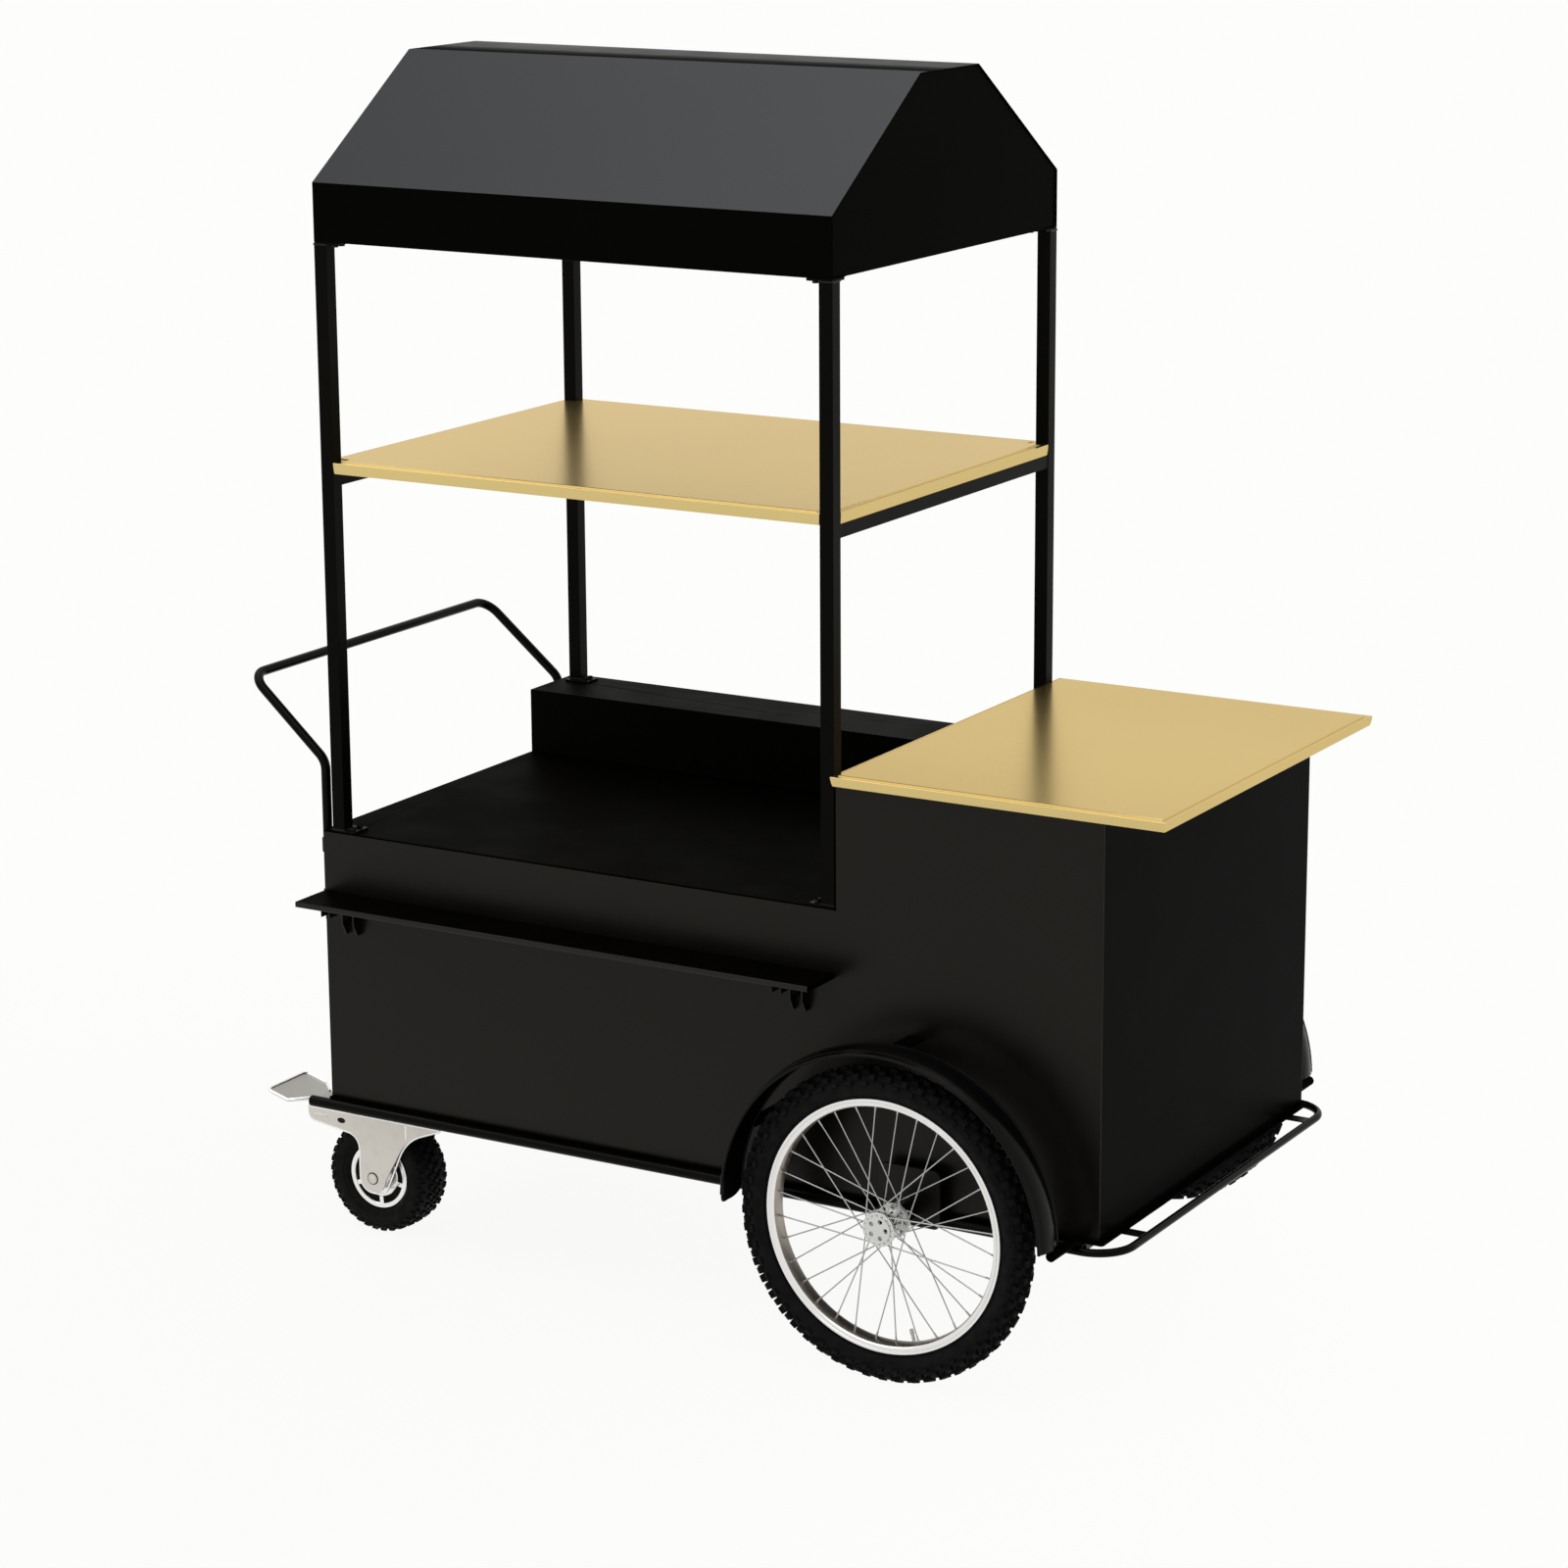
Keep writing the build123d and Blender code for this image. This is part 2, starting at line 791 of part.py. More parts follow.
with BuildPart() as axle:
    with BuildSketch(Plane.XY.offset(tube_face)):
        Circle(axle_r)
    extrude(amount=bearing_out + nut_height - tube_face)
    with BuildSketch(Plane.XY.offset(tube_face + bracket_sheet)):
        Circle(axle_collar_r)
    extrude(amount=-hub_half - end_gap - tube_face - bracket_sheet)
    with BuildSketch(Plane.XY.offset(bearing_out + end_gap)):
        RegularPolygon(nut_flats / 2, 6, major_radius=False)
    extrude(amount=nut_height)
with BuildPart() as wheel_axles:
    for place in wheel_places.values():
        add(axle.part.moved(place.location))
keep("wheel_axles", wheel_axles.part)

# Fenders
fender_r = wheel_r + fender_gap + fender_sheet / 2
with BuildPart() as fender:
    with BuildSketch(Plane.XZ):
        with BuildLine():
            ThreePointArc(
                (fender_r - fender_crown, -fender_width / 2),
                (fender_r, 0),
                (fender_r - fender_crown, fender_width / 2),
            )
        trace(line_width=fender_sheet)
        with Locations(
            (fender_r - fender_crown, -fender_width / 2),
            (fender_r - fender_crown, fender_width / 2),
        ):
            Circle(fender_bead_r)
    revolve(axis=Axis.Z, revolution_arc=fender_arc)
for name, rise in (("front", 90), ("back", 270)):
    turned = fender.part.rotate(Axis.Z, rise - fender_arc / 2)
    keep(f"{name}_fender", turned.moved(wheel_places[name].location))

with BuildPart() as fender_brackets:
    bead_under = fender_r - fender_crown - fender_bead_r
    end_angle = radians(90 - fender_arc / 2)
    peg_x = wheel_x + fender_r * cos(end_angle)
    peg_z = wheel_r + fender_r * sin(end_angle) - peg_r - 2 * strap_gap
    for side in (-1, 1):
        inner_edge = cabinet_depth / 2 + wheel_out - fender_width / 2 + fender_bead_r / 2
        reach = sorted((side * cabinet_depth / 2, side * inner_edge))
        with BuildPart() as strap:
            top = wheel_r + bead_under - strap_gap
            block(wheel_x - strap_width / 2, wheel_x + strap_width / 2, *reach, top - strap_sheet, top)
        for turn in strap_turns:
            add(strap.part.rotate(Axis((wheel_x, 0, wheel_r), (0, 1, 0)), turn))
        peg_start = side * (cabinet_depth / 2 + peg_back)
        peg_end = side * (cabinet_depth / 2 + wheel_out + peg_past)
        bar((peg_x, peg_start, peg_z), (peg_x, peg_end, peg_z), peg_r)
keep("fender_brackets", fender_brackets.part)

# Casters, built about the swivel axis with the wheel trailing to the left
crown_z = 2 * caster_r + crown_gap
crown_top = crown_z + fork_sheet
plate_under = chassis_z - caster_plate
race_height = (plate_under - crown_top - race_gap) / 2
cheek_in = caster_tyre_width / 2 + fork_gap
cheek_out = cheek_in + fork_sheet
hub_x = -caster_trail
pivot_x = -pedal_pivot_back
pivot_z = crown_top - pedal_pivot_drop

with BuildPart() as caster_fork:
    tip_left = hub_x - fork_tip_r
    tip_right = hub_x + fork_tip_r
    wing_z = crown_top - fork_wing_drop
    for way in (-1, 1):
        with BuildSketch(Plane.XZ.offset(way * cheek_in)) as cheek:
            with BuildLine():
                Polyline(
                    (tip_left, caster_r),
                    (tip_left, wing_z - fork_wing_slope),
                    (-fork_wing, wing_z),
                    (-fork_wing, crown_top),
                    (fork_horn, crown_top),
                    (fork_horn, crown_top - fork_horn_drop),
                    (fork_front, crown_top - fork_front_drop),
                    (tip_right, caster_r),
                )
                ThreePointArc((tip_right, caster_r), (hub_x, caster_r - fork_tip_r), (tip_left, caster_r))
            make_face()
            for corner, radius in (
                ((tip_left, wing_z - fork_wing_slope), fork_fillet),
                ((-fork_wing, wing_z), fork_wing_corner),
                ((fork_front, crown_top - fork_front_drop), fork_horn_fillet),
            ):
                fillet(cheek.vertices().sort_by_distance(corner)[0], radius)
            with Locations((hub_x, caster_r)):
                Circle(caster_axle_r, mode=Mode.SUBTRACT)
            with Locations((pivot_x, pivot_z)):
                Circle(pedal_pin_r, mode=Mode.SUBTRACT)
        extrude(amount=way * fork_sheet)
    block(tip_left, fork_front, -cheek_in, cheek_in, crown_z, crown_top)
    block(fork_front - fork_sheet, fork_front, -cheek_in, cheek_in, crown_top - apron_drop, crown_z)
    with Locations((0, 0, crown_top)):
        Cylinder(race_r, race_height, align=(Align.CENTER, Align.CENTER, Align.MIN))
    with Locations((0, 0, crown_top + race_height)):
        Hole(kingpin_r + running_gap, depth=race_height + fork_sheet)

with BuildPart() as caster_pins:
    for x, z, radius, head in (
        (hub_x, caster_r, caster_axle_r, bolt_head),
        (pivot_x, pivot_z, pedal_pin_r, bolt_head / 2),
    ):
        bar((x, -cheek_out, z), (x, cheek_out, z), radius)
        for way in (-1, 1):
            bar((x, way * cheek_out, z), (x, way * (cheek_out + head), z), 1.6 * radius)

with BuildPart() as caster_mount:
    block(
        -caster_plate_side / 2,
        caster_plate_side / 2,
        -caster_plate_side / 2,
        caster_plate_side / 2,
        plate_under,
        chassis_z,
    )
    fillet(caster_mount.edges().filter_by(Axis.Z), caster_plate_side / 10)
    bar((0, 0, plate_under - race_height), (0, 0, plate_under), race_r)
    bar((0, 0, crown_z - end_gap), (0, 0, plate_under), kingpin_r)
    bar((0, 0, crown_z - end_gap - kingpin_head), (0, 0, crown_z - end_gap), kingpin_head_r)
    with Locations((0, 0, chassis_z)):
        with GridLocations(2 * caster_bolt_spread, 2 * caster_bolt_spread, 2, 2):
            Hole(bolt_d / 2, depth=caster_plate)

with BuildPart() as caster_rim:
    with BuildSketch(Plane.XZ):
        with BuildLine():
            Polyline(
                (caster_rim_r - caster_rim_wall, -caster_rim_half),
                (caster_rim_r, -caster_rim_half),
                (caster_rim_r, caster_rim_half),
                (caster_rim_r - caster_rim_wall, caster_rim_half),
                (caster_rim_r - 2 * caster_rim_wall, caster_rim_half - caster_web),
                (caster_hub_r, caster_rim_half - caster_web),
                (caster_hub_r, cheek_in - end_gap),
                (caster_axle_r + running_gap, cheek_in - end_gap),
                (caster_axle_r + running_gap, -cheek_in + end_gap),
                (caster_hub_r, -cheek_in + end_gap),
                (caster_hub_r, -caster_rim_half + caster_web),
                (caster_rim_r - 2 * caster_rim_wall, -caster_rim_half + caster_web),
                close=True,
            )
        make_face()
        well = caster_rim_r - 2 * caster_rim_wall - caster_hub_r
        with Locations((caster_hub_r + well / 2, 0)):
            Rectangle(well, 2 * caster_rim_half - 4 * caster_web, mode=Mode.SUBTRACT)
    revolve(axis=Axis.Z)
    with BuildSketch(Plane.XY.offset(caster_rim_half)):
        with PolarLocations(0, caster_windows):
            SlotArc(
                CenterArc((0, 0), caster_window_ring, -caster_window_arc / 2, caster_window_arc),
                caster_window_width,
                mode=Mode.ADD,
            )
    extrude(amount=-3 * caster_web, mode=Mode.SUBTRACT)

with BuildPart() as caster_tyre:
    with BuildSketch(Plane.XZ):
        tread_r = caster_r - caster_knob
        with Locations(((caster_rim_r + tread_r) / 2, 0)):
            RectangleRounded(tread_r - caster_rim_r, caster_tyre_width, 0.42 * (tread_r - caster_rim_r))
            RectangleRounded(
                tread_r - caster_rim_r - 2 * caster_tyre_wall,
                caster_tyre_width - 2 * caster_tyre_wall,
                0.3 * (tread_r - caster_rim_r - 2 * caster_tyre_wall),
                mode=Mode.SUBTRACT,
            )
    revolve(axis=Axis.Z)
    pitch = 360 / caster_knobs
    lug = (caster_tyre_width - 2 * caster_tyre_wall) / 4
    for centre, outer_r, turn in (
        (-1.5 * lug, caster_r - caster_shoulder, 0),
        (0, caster_r, pitch / 2),
        (1.5 * lug, caster_r - caster_shoulder, 0),
    ):
        root_r = tread_r - 2 * caster_knob
        with BuildSketch(Plane.XY.offset(centre - lug / 2)):
            with PolarLocations((root_r + outer_r) / 2, caster_knobs, start_angle=turn):
                Rectangle(outer_r - root_r, outer_r * radians(pitch) / 2)
        extrude(amount=lug)

neck_z = chassis_z - pedal_under - pedal_slope - pedal_sheet / 2
tip_z = chassis_z - pedal_under - pedal_sheet / 2
with BuildPart() as pedal:
    with BuildSketch(Plane.XZ.offset(-pedal_width / 2)):
        with BuildLine():
            Polyline(
                (pivot_x, pivot_z),
                (-pedal_neck_end, neck_z),
                (-pedal_flare_end, neck_z),
                (-pedal_tip, tip_z),
            )
        trace(line_width=pedal_sheet)
    extrude(amount=pedal_width)
    with BuildSketch(Plane.XY.offset(pivot_z - pedal_width)) as plan:
        with BuildLine():
            Polyline(
                (pivot_x + pedal_boss_r, -pedal_neck / 2),
                (-pedal_neck_end, -pedal_neck / 2),
                (-pedal_flare_end, -pedal_width / 2),
                (-pedal_tip, -pedal_width / 2),
                (-pedal_tip, pedal_width / 2),
                (-pedal_flare_end, pedal_width / 2),
                (-pedal_neck_end, pedal_neck / 2),
                (pivot_x + pedal_boss_r, pedal_neck / 2),
                close=True,
            )
        make_face()
        fillet(plan.vertices().group_by(Axis.X)[0], pedal_neck / 4)
    extrude(amount=2 * pedal_width, mode=Mode.INTERSECT)
    bar((pivot_x, -cheek_in + end_gap, pivot_z), (pivot_x, cheek_in - end_gap, pivot_z), pedal_boss_r)
    run = Vector(hub_x - pivot_x, 0, caster_r - pivot_z).normalized()
    across = Vector(run.Z, 0, -run.X)
    shoe_top = Vector(pivot_x, 0, pivot_z) + across * shoe_arm
    shoe_end = hypot(shoe_top.X - hub_x, shoe_top.Z - caster_r) - caster_r - shoe_gap
    standing = (Align.CENTER, Align.CENTER, Align.MIN)
    with Locations(Plane(origin=(pivot_x, 0, pivot_z), x_dir=(0, 1, 0), z_dir=across)):
        Box(shoe_width, shoe_thick, shoe_arm + shoe_thick / 2, align=standing)
    with Locations(Plane(origin=shoe_top, x_dir=(0, 1, 0), z_dir=run)):
        Box(shoe_width, shoe_thick, shoe_end, align=standing)
    pin_bore = pedal_pin_r + running_gap
    bar((pivot_x, -cheek_in, pivot_z), (pivot_x, cheek_in, pivot_z), pin_bore, Mode.SUBTRACT)

for name, side in (("front", -1), ("back", 1)):
    spot = Location((x_left + caster_station, side * (cabinet_depth / 2 - caster_inset), 0))
    hub_spot = spot * Plane(origin=(hub_x, 0, caster_r), x_dir=(1, 0, 0), z_dir=(0, side, 0)).location
    keep(f"{name}_caster_mount", caster_mount.part.moved(spot))
    keep(f"{name}_caster_fork", caster_fork.part.moved(spot))
    keep(f"{name}_caster_pins", caster_pins.part.moved(spot))
    keep(f"{name}_caster_pedal", pedal.part.moved(spot))
    keep(f"{name}_caster_rim", caster_rim.part.moved(hub_spot))
    keep(f"{name}_caster_tyre", caster_tyre.part.moved(hub_spot))

# Fold-down shelf: tray leaf, two arms under it, wall legs and braces
leaf_right = bay_right
fold_y = y_front - pivot_out
fold_z = leaf_z - pivot_drop
bracket_x = (x_left + bracket_inset, leaf_right - bracket_inset)

with BuildPart() as fold_leaf:
    block(x_left, leaf_right, y_front - leaf_depth, y_front - leaf_gap, leaf_z - leaf_lip, leaf_z)
    fillet(fold_leaf.edges().group_by(Axis.Z)[-1].group_by(Axis.Y)[0], fold_r)
    block(
        x_left + sheet,
        leaf_right - sheet,
        y_front - leaf_depth + sheet,
        y_front - leaf_gap,
        leaf_z - leaf_lip,
        leaf_z - sheet,
        Mode.SUBTRACT,
    )
keep("fold_leaf", fold_leaf.part)

with BuildPart() as fold_arms:
    arm_top = leaf_z - sheet
    arm_end = y_front - leaf_depth + sheet + arm_gap
    for x in bracket_x:
        with BuildSketch(Plane.YZ.offset(x - arm_width / 2)):
            with BuildLine():
                Polyline(
                    (fold_y, fold_z - pivot_side_r),
                    (arm_end, fold_z - pivot_side_r),
                    (arm_end, arm_top),
                    (fold_y + pivot_side_r, arm_top),
                    (fold_y + pivot_side_r, fold_z),
                )
                ThreePointArc(
                    (fold_y + pivot_side_r, fold_z),
                    (fold_y + pivot_side_r * sin(radians(45)), fold_z - pivot_side_r * cos(radians(45))),
                    (fold_y, fold_z - pivot_side_r),
                )
            make_face()
            with Locations((fold_y, fold_z)):
                Circle(pivot_r + running_gap, mode=Mode.SUBTRACT)
        extrude(amount=arm_width)
        block(
            x - arm_width / 2 + arm_wall,
            x + arm_width / 2 - arm_wall,
            arm_end,
            fold_y + pivot_side_r,
            fold_z - leaf_depth,
            arm_top - arm_wall,
            Mode.SUBTRACT,
        )
        block(
            x - arm_width / 2,
            x + arm_width / 2,
            fold_y - brace_drop - pin_slot / 2,
            fold_y - brace_drop + pin_slot / 2,
            fold_z - pivot_side_r,
            fold_z + pin_slot_rise,
            Mode.SUBTRACT,
        )
keep("fold_arms", fold_arms.part)

with BuildPart() as shelf_legs:
    leg_half = arm_width / 2 + leg_gap
    leg_foot = leaf_z - sheet - leg_height
    for x in bracket_x:
        with BuildSketch(Plane.YZ.offset(x - leg_half - leg_wall)):
            with BuildLine():
                Polyline(
                    (y_front, fold_z + leg_rise),
                    (y_front, leg_foot),
                    (y_front - leg_depth / 2, leg_foot),
                    (y_front - leg_depth, leg_foot + leg_depth),
                    (y_front - leg_depth, fold_z + leg_rise),
                    close=True,
                )
            make_face()
        extrude(amount=2 * (leg_half + leg_wall))
        block(
            x - leg_half,
            x + leg_half,
            y_front - leg_depth,
            y_front - arm_wall,
            leg_foot,
            fold_z + leg_rise,
            Mode.SUBTRACT,
        )
        for z, radius in ((fold_z, pivot_r), (fold_z - brace_drop, brace_pin_r)):
            bar((x - leg_half, fold_y, z), (x + leg_half, fold_y, z), radius)
keep("shelf_legs", shelf_legs.part)

brace_out = (brace_length**2 - brace_drop**2) ** 0.5
for name, x in zip(("left", "right"), bracket_x):
    with BuildPart() as brace:
        with BuildSketch(Plane.YZ.offset(x - brace_thick / 2)):
            SlotCenterPoint(
                (fold_y - brace_out / 2, fold_z - brace_drop / 2),
                (fold_y, fold_z - brace_drop),
                2 * brace_half,
            )
            with Locations((fold_y, fold_z - brace_drop)):
                Circle(brace_pin_r + running_gap, mode=Mode.SUBTRACT)
        extrude(amount=brace_thick)
    keep(f"{name}_brace", brace.part)

# Storage doors
hinge_y = y_back + hinge_out
door_middle = (door_x0 + door_x1) / 2
hinge_levels = (door_bottom + hinge_inset, door_top - hinge_inset)


def knuckle(x, z, low, high):
    """One barrel of a hinge, in the open builder."""
    bar((x, hinge_y, z + low), (x, hinge_y, z + high), hinge_r)


for name, edge, way in (("left", door_x0, 1), ("right", door_x1, -1)):
    axis_x = edge + way * door_gap / 2
    near = edge + way * door_gap
    far = door_middle - way * door_gap / 2
    x0, x1 = sorted((near, far))
    with BuildPart() as door:
        block(x0, x1, y_back - door_pan, y_back, door_bottom + door_gap, door_top - door_gap)
        fillet(door.edges().filter_by(Axis.Z).group_by(Axis.Y)[-1], fold_r)
        block(
            x0 + door_sheet,
            x1 - door_sheet,
            y_back - door_pan,
            y_back - door_sheet,
            door_bottom + door_gap + door_sheet,
            door_top - door_gap - door_sheet,
            Mode.SUBTRACT,
        )
        for z in hinge_levels:
            knuckle(axis_x, z, -hinge_knuckle / 2, hinge_knuckle / 2)
            strap = sorted((axis_x, axis_x + way * hinge_leaf))
            block(*strap, y_back, y_back + hinge_sheet, z - hinge_knuckle / 2, z + hinge_knuckle / 2)
            bar(
                (axis_x, hinge_y, z - hinge_knuckle),
                (axis_x, hinge_y, z + hinge_knuckle),
                hinge_pin_r + running_gap,
                Mode.SUBTRACT,
            )
    keep(f"{name}_door", door.part)

    pull_x = far - way * pull_inset
    pull_z = (door_bottom + door_top) / 2
    pull = bent_tube(
        [
            (pull_x, y_back, pull_z - pull_span / 2),
            (pull_x, y_back + pull_out, pull_z - pull_span / 2),
            (pull_x, y_back + pull_out, pull_z + pull_span / 2),
            (pull_x, y_back, pull_z + pull_span / 2),
        ],
        pull_d / 2,
        pull_d / 4,
        pull_bend_r,
    )
    keep(f"{name}_door_pull", pull)

with BuildPart() as door_hinges:
    for edge, way in ((door_x0, 1), (door_x1, -1)):
        axis_x = edge + way * door_gap / 2
        for z in hinge_levels:
            inner = hinge_knuckle / 2 + hinge_play
            outer = inner + hinge_knuckle / 2
            with BuildPart() as hinge:
                for low, high in ((-outer, -inner), (inner, outer)):
                    knuckle(axis_x, z, low, high)
                    strap = sorted((axis_x, axis_x - way * hinge_leaf))
                    block(*strap, y_back, y_back + hinge_sheet, z + low, z + high)
                bar((axis_x, hinge_y, z - outer), (axis_x, hinge_y, z + outer), hinge_pin_r)
            add(hinge.part)
keep("door_hinges", door_hinges.part)
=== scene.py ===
"""Vending cart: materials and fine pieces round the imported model, with camera and light."""

import json
import math
import random

import bmesh
import bpy
from mathutils import Matrix, Vector


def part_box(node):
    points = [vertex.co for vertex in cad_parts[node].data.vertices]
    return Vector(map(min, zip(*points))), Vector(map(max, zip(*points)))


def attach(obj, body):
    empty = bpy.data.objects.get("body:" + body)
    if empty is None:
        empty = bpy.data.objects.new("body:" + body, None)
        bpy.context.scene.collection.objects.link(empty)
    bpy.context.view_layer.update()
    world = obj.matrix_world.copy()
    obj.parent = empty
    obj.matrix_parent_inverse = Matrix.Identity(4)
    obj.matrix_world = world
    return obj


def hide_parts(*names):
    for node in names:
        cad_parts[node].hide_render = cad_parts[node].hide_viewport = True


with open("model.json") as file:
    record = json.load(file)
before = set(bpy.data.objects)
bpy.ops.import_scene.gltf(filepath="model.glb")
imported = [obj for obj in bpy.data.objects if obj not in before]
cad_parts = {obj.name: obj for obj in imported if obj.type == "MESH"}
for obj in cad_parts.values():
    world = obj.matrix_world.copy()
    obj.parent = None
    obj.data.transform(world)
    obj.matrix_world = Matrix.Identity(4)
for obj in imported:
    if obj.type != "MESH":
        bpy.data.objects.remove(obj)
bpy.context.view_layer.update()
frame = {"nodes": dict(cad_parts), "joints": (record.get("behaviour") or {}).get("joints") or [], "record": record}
nodes = frame["nodes"]
joints = {joint["name"]: joint for joint in frame["joints"]}
random.seed(7)

MM = 0.001


# Materials
# A warm tint on the coat's reflections: painted warm light in its sheen
COAT_WARM_REFLECTION_TINT = (1, 0.95, 0.85, 1)
# Sockets of a mix node that mixes colours
MIX_FACTOR, MIX_FIRST, MIX_SECOND, MIX_RESULT = 0, 6, 7, 2


def shader(name, colour, metallic=0.0, roughness=0.5):
    """A material and its principled shader."""
    mat = bpy.data.materials.new(name)
    mat.use_nodes = True
    bsdf = mat.node_tree.nodes["Principled BSDF"]
    bsdf.inputs["Base Color"].default_value = (*colour, 1)
    bsdf.inputs["Metallic"].default_value = metallic
    bsdf.inputs["Roughness"].default_value = roughness
    mat.diffuse_color = (*colour, 1)
    return mat, bsdf


def node(owner, kind, **values):
    """A new node; values set its properties, or its inputs where it has no such property."""
    made = owner.node_tree.nodes.new(kind)
    for key, value in values.items():
        if hasattr(made, key):
            setattr(made, key, value)
        else:
            made.inputs[key].default_value = value
    return made


def link(owner, source, target):
    owner.node_tree.links.new(source, target)


def place_on(mat):
    """Coordinates in metres that stay with the piece."""
    return node(mat, "ShaderNodeTexCoord").outputs["Object"]


def noise(mat, scale, detail=3.0):
    made = node(mat, "ShaderNodeTexNoise", Scale=scale, Detail=detail)
    link(mat, place_on(mat), made.inputs["Vector"])
    return made.outputs["Fac"]


def spread(mat, factor, low, high, start=0.3, stop=0.7):
    """A number that runs from low to high while factor runs from start to stop."""
    made = node(mat, "ShaderNodeMapRange")
    for key, value in (("From Min", start), ("From Max", stop), ("To Min", low), ("To Max", high)):
        made.inputs[key].default_value = value
    link(mat, factor, made.inputs["Value"])
    return made.outputs["Result"]


def tint(mat, factor, *stops):
    """A colour ramp between two stops of (place, colour)."""
    made = node(mat, "ShaderNodeValToRGB")
    for element, (at, colour) in zip(made.color_ramp.elements, stops):
        element.position = at
        element.color = (*colour, 1)
    link(mat, factor, made.inputs["Fac"])
    return made.outputs["Color"]


def bump(mat, bsdf, height, distance, strength):
    made = node(mat, "ShaderNodeBump", Strength=strength, Distance=distance)
    link(mat, height, made.inputs["Height"])
    link(mat, made.outputs["Normal"], bsdf.inputs["Normal"])


def shade(colour, by):
    """A colour made darker or paler."""
    return tuple(min(1.0, by * c) for c in colour)


def paint_slope_sheen(mat, coat, slope_sheen):
    """The coat's colour, changed to a painted sheen of reflected light on faces sloping to front or back, growing
    paler to the right.
    """
    normal = node(mat, "ShaderNodeSeparateXYZ")
    link(mat, node(mat, "ShaderNodeNewGeometry").outputs["Normal"], normal.inputs["Vector"])
    sideways = node(mat, "ShaderNodeMath", operation="ABSOLUTE")
    link(mat, normal.outputs["Y"], sideways.inputs[0])
    lean = node(mat, "ShaderNodeMath", operation="MULTIPLY")
    link(mat, sideways.outputs["Value"], lean.inputs[0])
    link(mat, normal.outputs["Z"], lean.inputs[1])
    spot = node(mat, "ShaderNodeSeparateXYZ")
    link(mat, place_on(mat), spot.inputs["Vector"])
    run = spread(mat, spot.outputs["X"], 0, 1, start=-0.7, stop=0.4)
    sheen_colour = tint(mat, run, (0, shade(slope_sheen, 0.88)), (1, shade(slope_sheen, 1.25)))
    mix = node(mat, "ShaderNodeMix", data_type="RGBA")
    sloping = spread(mat, lean.outputs["Value"], 0, 1, start=0.38, stop=0.42)
    link(mat, sloping, mix.inputs[MIX_FACTOR])
    link(mat, coat, mix.inputs[MIX_FIRST])
    link(mat, sheen_colour, mix.inputs[MIX_SECOND])
    return mix.outputs[MIX_RESULT]


def powder_coat(name, colour, specular, gloss=(0.29, 0.36), slope_sheen=None):
    """Satin powder coat: fine orange peel and uneven gloss; a colour for sloping faces, where given, paints a
    sheen of reflected light there.
    """
    mat, bsdf = shader(name, colour)
    bsdf.inputs["Specular IOR Level"].default_value = specular
    bsdf.inputs["Specular Tint"].default_value = COAT_WARM_REFLECTION_TINT
    clouds = noise(mat, scale=2.5, detail=5.0)
    coat = tint(mat, clouds, (0.3, shade(colour, 0.82)), (0.7, shade(colour, 1.2)))
    if slope_sheen:
        coat = paint_slope_sheen(mat, coat, slope_sheen)
    link(mat, coat, bsdf.inputs["Base Color"])
    link(mat, spread(mat, noise(mat, scale=9.0), *gloss), bsdf.inputs["Roughness"])
    bump(mat, bsdf, noise(mat, scale=700.0, detail=2.0), distance=0.0002, strength=0.25)
    return mat


def satin_metal(name, colour, roughness, uneven=0.02, edge=(1, 1, 1), cloud_scale=4.0, cloudy=0.03):
    """Plated metal: a fine grain, and faint clouds in its colour and sheen."""
    mat, bsdf = shader(name, colour, metallic=1.0, roughness=roughness)
    bsdf.inputs["Specular Tint"].default_value = (*edge, 1)
    clouds = noise(mat, cloud_scale, detail=2.0)
    clouded = tint(mat, clouds, (0.3, shade(colour, 1 - cloudy)), (0.7, shade(colour, 1 + cloudy)))
    link(mat, clouded, bsdf.inputs["Base Color"])
    sheen = noise(mat, scale=30.0, detail=2.0)
    link(mat, spread(mat, sheen, roughness - uneven, roughness + uneven), bsdf.inputs["Roughness"])
    bump(mat, bsdf, noise(mat, scale=600.0, detail=2.0), distance=0.00006, strength=5 * uneven)
    return mat


def rubber(name, colour):
    """Moulded rubber, dusty in patches."""
    mat, bsdf = shader(name, colour, roughness=0.7)
    bsdf.inputs["Specular IOR Level"].default_value = 0.1
    dust = tuple(2 * c + 0.0012 for c in colour)
    patches = noise(mat, scale=24.0, detail=5.0)
    link(mat, tint(mat, patches, (0.45, colour), (0.8, dust)), bsdf.inputs["Base Color"])
    link(mat, spread(mat, noise(mat, scale=60.0), 0.58, 0.82), bsdf.inputs["Roughness"])
    bump(mat, bsdf, noise(mat, scale=900.0), distance=0.0003, strength=0.4)
    return mat


def enamel(name, colour):
    """Pale stoved paint on pressed steel, with faint handling marks."""
    mat, bsdf = shader(name, colour, metallic=0.6, roughness=0.36)
    marks = noise(mat, scale=38.0, detail=6.0)
    link(mat, tint(mat, marks, (0.25, shade(colour, 0.93)), (0.5, colour)), bsdf.inputs["Base Color"])
    link(mat, spread(mat, noise(mat, scale=70.0), 0.3, 0.48), bsdf.inputs["Roughness"])
    bump(mat, bsdf, noise(mat, scale=420.0), distance=0.0003, strength=0.3)
    return mat


